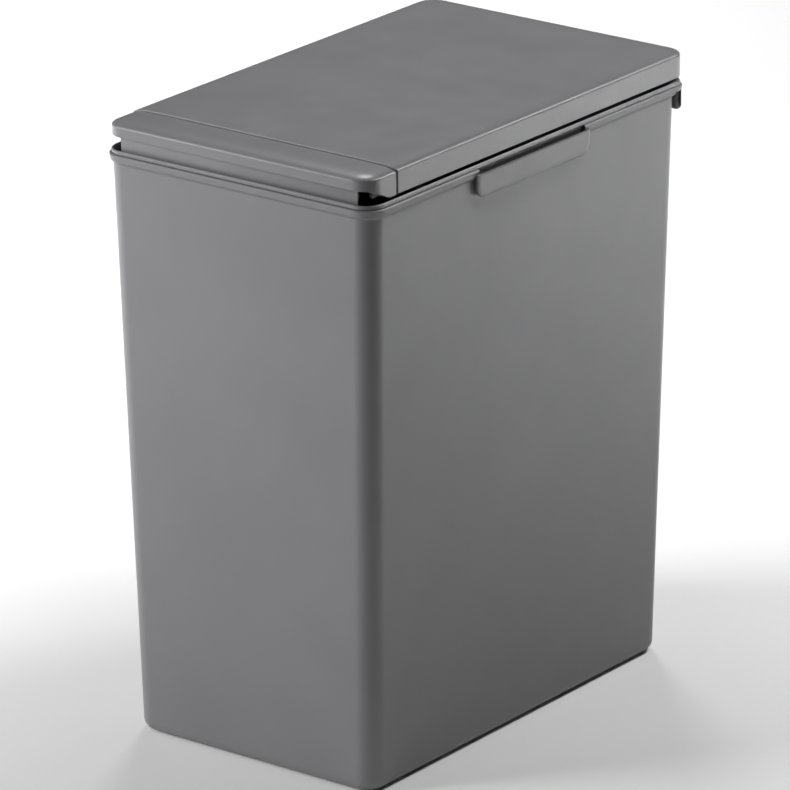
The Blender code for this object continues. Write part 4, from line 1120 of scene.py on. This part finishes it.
def make_lining():
    # Tray under the lid with its upright bulkhead, pivot ears and spring shelf
    half_x = LID_HALF_X - LID_WALL - LINING_GAP
    rear = LID_REAR - LID_WALL - LINING_REAR_GAP
    line = (half_x, -BULKHEAD_Y, rear, LID_CORNER - LID_WALL)
    inner = shrunk(line, LINING_WALL)
    profile = [
        (shrunk(line, LID_CORNER), LINING_BOTTOM, 0),
        (line, LINING_BOTTOM, LIP_EDGE),
        (line, LINING_BOTTOM + LINING_FLANGE, FINE_EDGE),
        (inner, LINING_BOTTOM + LINING_FLANGE, FINE_EDGE),
        (inner, LINING_TOP, FINE_EDGE),
        (shrunk(inner, LID_CORNER), LINING_TOP, 0),
    ]
    lining = loft("lining_tray", softened(profile))
    wall_half = half_x - LID_CORNER / 4
    start = (-wall_half, BULKHEAD_Y, LINING_BOTTOM)
    end = (wall_half, BULKHEAD_Y + LINING_WALL, LINING_BOTTOM + BULKHEAD_HEIGHT)
    join(lining, block("bulkhead", start, end))
    start = (-SHELF_HALF, BULKHEAD_Y - SHELF_REACH, LINING_BOTTOM)
    end = (SHELF_HALF, BULKHEAD_Y + LINING_WALL, LINING_TOP)
    join(lining, rounded(block("spring_shelf", start, end), FINE_EDGE))
    for name, side in SIDES:
        for number, offset in enumerate((-1, 1)):
            middle = side * ARM_SIDE + offset * (ARM_WIDTH / 2 + TOUCH_GAP + EAR_WIDTH / 2)
            start = (middle - EAR_WIDTH / 2, PIVOT_Y - EAR_RADIUS, PIVOT_Z - EAR_RADIUS)
            end = (middle + EAR_WIDTH / 2, BULKHEAD_Y + LINING_WALL / 2, PIVOT_Z + EAR_RADIUS)
            join(lining, rounded(block("ear_" + name + "_" + str(number), start, end), TOOL_EDGE))
        bore = circle(PIVOT_Y, PIVOT_Z, PIVOT_PIN_RADIUS + BORE_GAP)
        reach = ARM_WIDTH + EAR_WIDTH
        low = side * ARM_SIDE - reach
        high = side * ARM_SIDE + reach
        cut(lining, prism("ear_bore_" + name, bore, low, high, "x"))
    drill(lining, boss_places(), LINING_SCREW, LINING_BOTTOM - OVERRUN, LINING_TOP + OVERRUN)
    return lining


def noise(nodes, links, coordinates, scale, detail):
    # Noise texture in the object's own coordinates
    texture = nodes.new("ShaderNodeTexNoise")
    texture.inputs["Scale"].default_value = scale
    texture.inputs["Detail"].default_value = detail
    links.new(coordinates.outputs["Object"], texture.inputs["Vector"])
    return texture


def spread(nodes, links, source, low, high):
    # Maps the middle part of a noise's range onto two values
    ramp = nodes.new("ShaderNodeMapRange")
    ramp.inputs["From Min"].default_value = GLOSS_RANGE[0]
    ramp.inputs["From Max"].default_value = GLOSS_RANGE[1]
    ramp.inputs["To Min"].default_value = low
    ramp.inputs["To Max"].default_value = high
    links.new(source.outputs["Fac"], ramp.inputs["Value"])
    return ramp


def make_finish(name, colour, roughness, grain, grain_scale, metallic):
    # Slight tone and gloss variation, and a fine even grain
    finish = bpy.data.materials.new(name)
    finish.use_nodes = True
    nodes = finish.node_tree.nodes
    links = finish.node_tree.links
    shader = nodes["Principled BSDF"]
    shader.inputs["Metallic"].default_value = metallic
    shader.inputs["IOR"].default_value = SURFACE_IOR
    coordinates = nodes.new("ShaderNodeTexCoord")
    cloud = noise(nodes, links, coordinates, *TONE_NOISE)
    ramp = nodes.new("ShaderNodeValToRGB")
    factors = (1 - TONE_SHARE, 1 + TONE_SHARE)
    for stop, position, factor in zip(ramp.color_ramp.elements, TONE_RANGE, factors):
        stop.position = position
        stop.color = (*[value * factor for value in colour], 1)
    links.new(cloud.outputs["Fac"], ramp.inputs["Fac"])
    links.new(ramp.outputs["Color"], shader.inputs["Base Color"])
    patch = noise(nodes, links, coordinates, *GLOSS_NOISE)
    gloss = spread(nodes, links, patch, roughness * (1 - GLOSS_SHARE), roughness * (1 + GLOSS_SHARE))
    links.new(gloss.outputs["Result"], shader.inputs["Roughness"])
    fine = noise(nodes, links, coordinates, grain_scale, GRAIN_DETAIL)
    bump = nodes.new("ShaderNodeBump")
    bump.inputs["Strength"].default_value = grain
    bump.inputs["Distance"].default_value = GRAIN_HEIGHT
    links.new(fine.outputs["Fac"], bump.inputs["Height"])
    links.new(bump.outputs["Normal"], shader.inputs["Normal"])
    return finish


def dress(thing, body, node, slot, finishes):
    # A detailed piece that stands for one CAD node
    thing.data.materials.clear()
    thing.data.materials.append(finishes[slot])
    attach(thing, body)
    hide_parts(node)


def paint(node, finish):
    # A carried-over CAD node with a finished material
    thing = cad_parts[node]
    for place in thing.material_slots:
        place.material = finish


def area_light(name, place, target, side, power, cone):
    # Square soft light, aimed at a point
    data = bpy.data.lights.new(name, "AREA")
    data.shape = "SQUARE"
    data.size = side
    data.energy = power
    data.spread = math.radians(cone)
    thing = add_object(name, data)
    thing.location = place
    away = Vector(target) - Vector(place)
    thing.rotation_euler = away.to_track_quat("-Z", "Y").to_euler()


def make_studio():
    # Pale floor, soft lights and a faint white surround
    floor = block("floor", (-FLOOR_SIZE, -FLOOR_SIZE, -FLOOR_DEEP), (FLOOR_SIZE, FLOOR_SIZE, -FLOOR_GAP))
    surface = bpy.data.materials.new("studio_floor")
    surface.use_nodes = True
    shader = surface.node_tree.nodes["Principled BSDF"]
    shader.inputs["Base Color"].default_value = FLOOR_COLOUR
    shader.inputs["Roughness"].default_value = FLOOR_ROUGHNESS
    floor.data.materials.append(surface)
    for values in SOFTBOXES:
        area_light(*values)
    world = bpy.data.worlds.new("studio")
    world.use_nodes = True
    background = world.node_tree.nodes["Background"]
    background.inputs["Color"].default_value = WORLD_COLOUR
    background.inputs["Strength"].default_value = WORLD_STRENGTH
    bpy.context.scene.world = world
    bpy.context.scene.view_settings.view_transform = "Standard"


def make_camera():
    # Camera at the angle and distance solved from the photo's straight edges
    data = bpy.data.cameras.new("photo_camera")
    data.sensor_width = SENSOR_MM
    data.lens = SENSOR_MM * FOCAL_PX / PHOTO_WIDTH_PX
    data.clip_end = CLIP_END
    camera = add_object("photo_camera", data)
    azimuth = math.radians(CAMERA_AZIMUTH)
    elevation = math.radians(CAMERA_ELEVATION)
    target = Vector(LOOK_AT)
    back = Vector(
        (
            math.sin(azimuth) * math.cos(elevation),
            -math.cos(azimuth) * math.cos(elevation),
            math.sin(elevation),
        )
    )
    aim = (-back).to_track_quat("-Z", "Y").to_matrix().to_4x4()
    spin = Matrix.Rotation(math.radians(CAMERA_ROLL), 4, "Z")
    camera.matrix_world = Matrix.Translation(target + back * CAMERA_DISTANCE) @ aim @ spin
    bpy.context.scene.camera = camera


def make_object():
    # Every piece in its finish, on its body and in place of its CAD node
    finishes = {slot: make_finish(*values) for slot, values in FINISHES.items()}
    dress(make_bucket(), "bucket", "bucket", "bucket_plastic", finishes)
    dress(make_frame(), "frame", "upper_frame", "frame_plastic", finishes)
    dress(make_lid(), "lid", "lid_shell", "lid_plastic", finishes)
    dress(make_bar(), "bar", "touch_bar", "bar_plastic", finishes)
    dress(make_plate(), "bar", "latch_plate", "plate_plastic", finishes)
    dress(make_lining(), "lid", "lid_lining", "inner_plastic", finishes)
    for node in ("bar_carrier", "lid_hinge_leaf_left", "lid_hinge_leaf_right"):
        paint(node, finishes["inner_plastic"])
    for node in ("latch_hook", "catch_plate"):
        paint(node, finishes["acetal"])

    for name, side in SIDES:
        low, high = span(side, STATION_INNER - BORE_GAP, PIN_END)
        thing = pin("hinge_rod_" + name, HINGE_Y, HINGE_Z, HINGE_PIN_RADIUS, low, high)
        dress(thing, "frame", "hinge_pin_" + name, "steel", finishes)
        reach = ARM_WIDTH / 2 + TOUCH_GAP + EAR_WIDTH + BORE_GAP
        low = side * ARM_SIDE - reach
        high = side * ARM_SIDE + reach
        thing = pin("pivot_rod_" + name, PIVOT_Y, PIVOT_Z, PIVOT_PIN_RADIUS, low, high)
        dress(thing, "lid", "bar_pivot_pin_" + name, "steel", finishes)
        dress(lid_spring(name, side), "lid", "lid_spring_" + name, "steel", finishes)
        thing = bar_spring(name, side)
        dress(thing, "lid", "bar_spring_" + name, "steel", finishes)
        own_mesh(thing)
        dress(make_buffer(name, side), "frame", "lid_buffer_" + name, "rubber", finishes)

    groups = (
        ("lining_screw", boss_places(), LINING_SCREW, "lid", "up"),
        ("hinge_screw", leaf_screw_places(), BOSS_SCREW, "lid", "up"),
        ("bar_screw", bar_boss_places(), BOSS_SCREW, "bar", "up"),
        ("plate_screw", plate_screw_places(), SMALL_SCREW, "bar", "up"),
        ("hook_screw", hook_screw_places(), SMALL_SCREW, "bar", "up"),
        ("catch_screw", catch_screw_places(), SMALL_SCREW, "frame", "front"),
    )
    for name, places, size, body, direction in groups:
        for thing, node in make_screws(name, places, size, direction):
            dress(thing, body, node, "steel", finishes)


make_object()
make_studio()
make_camera()
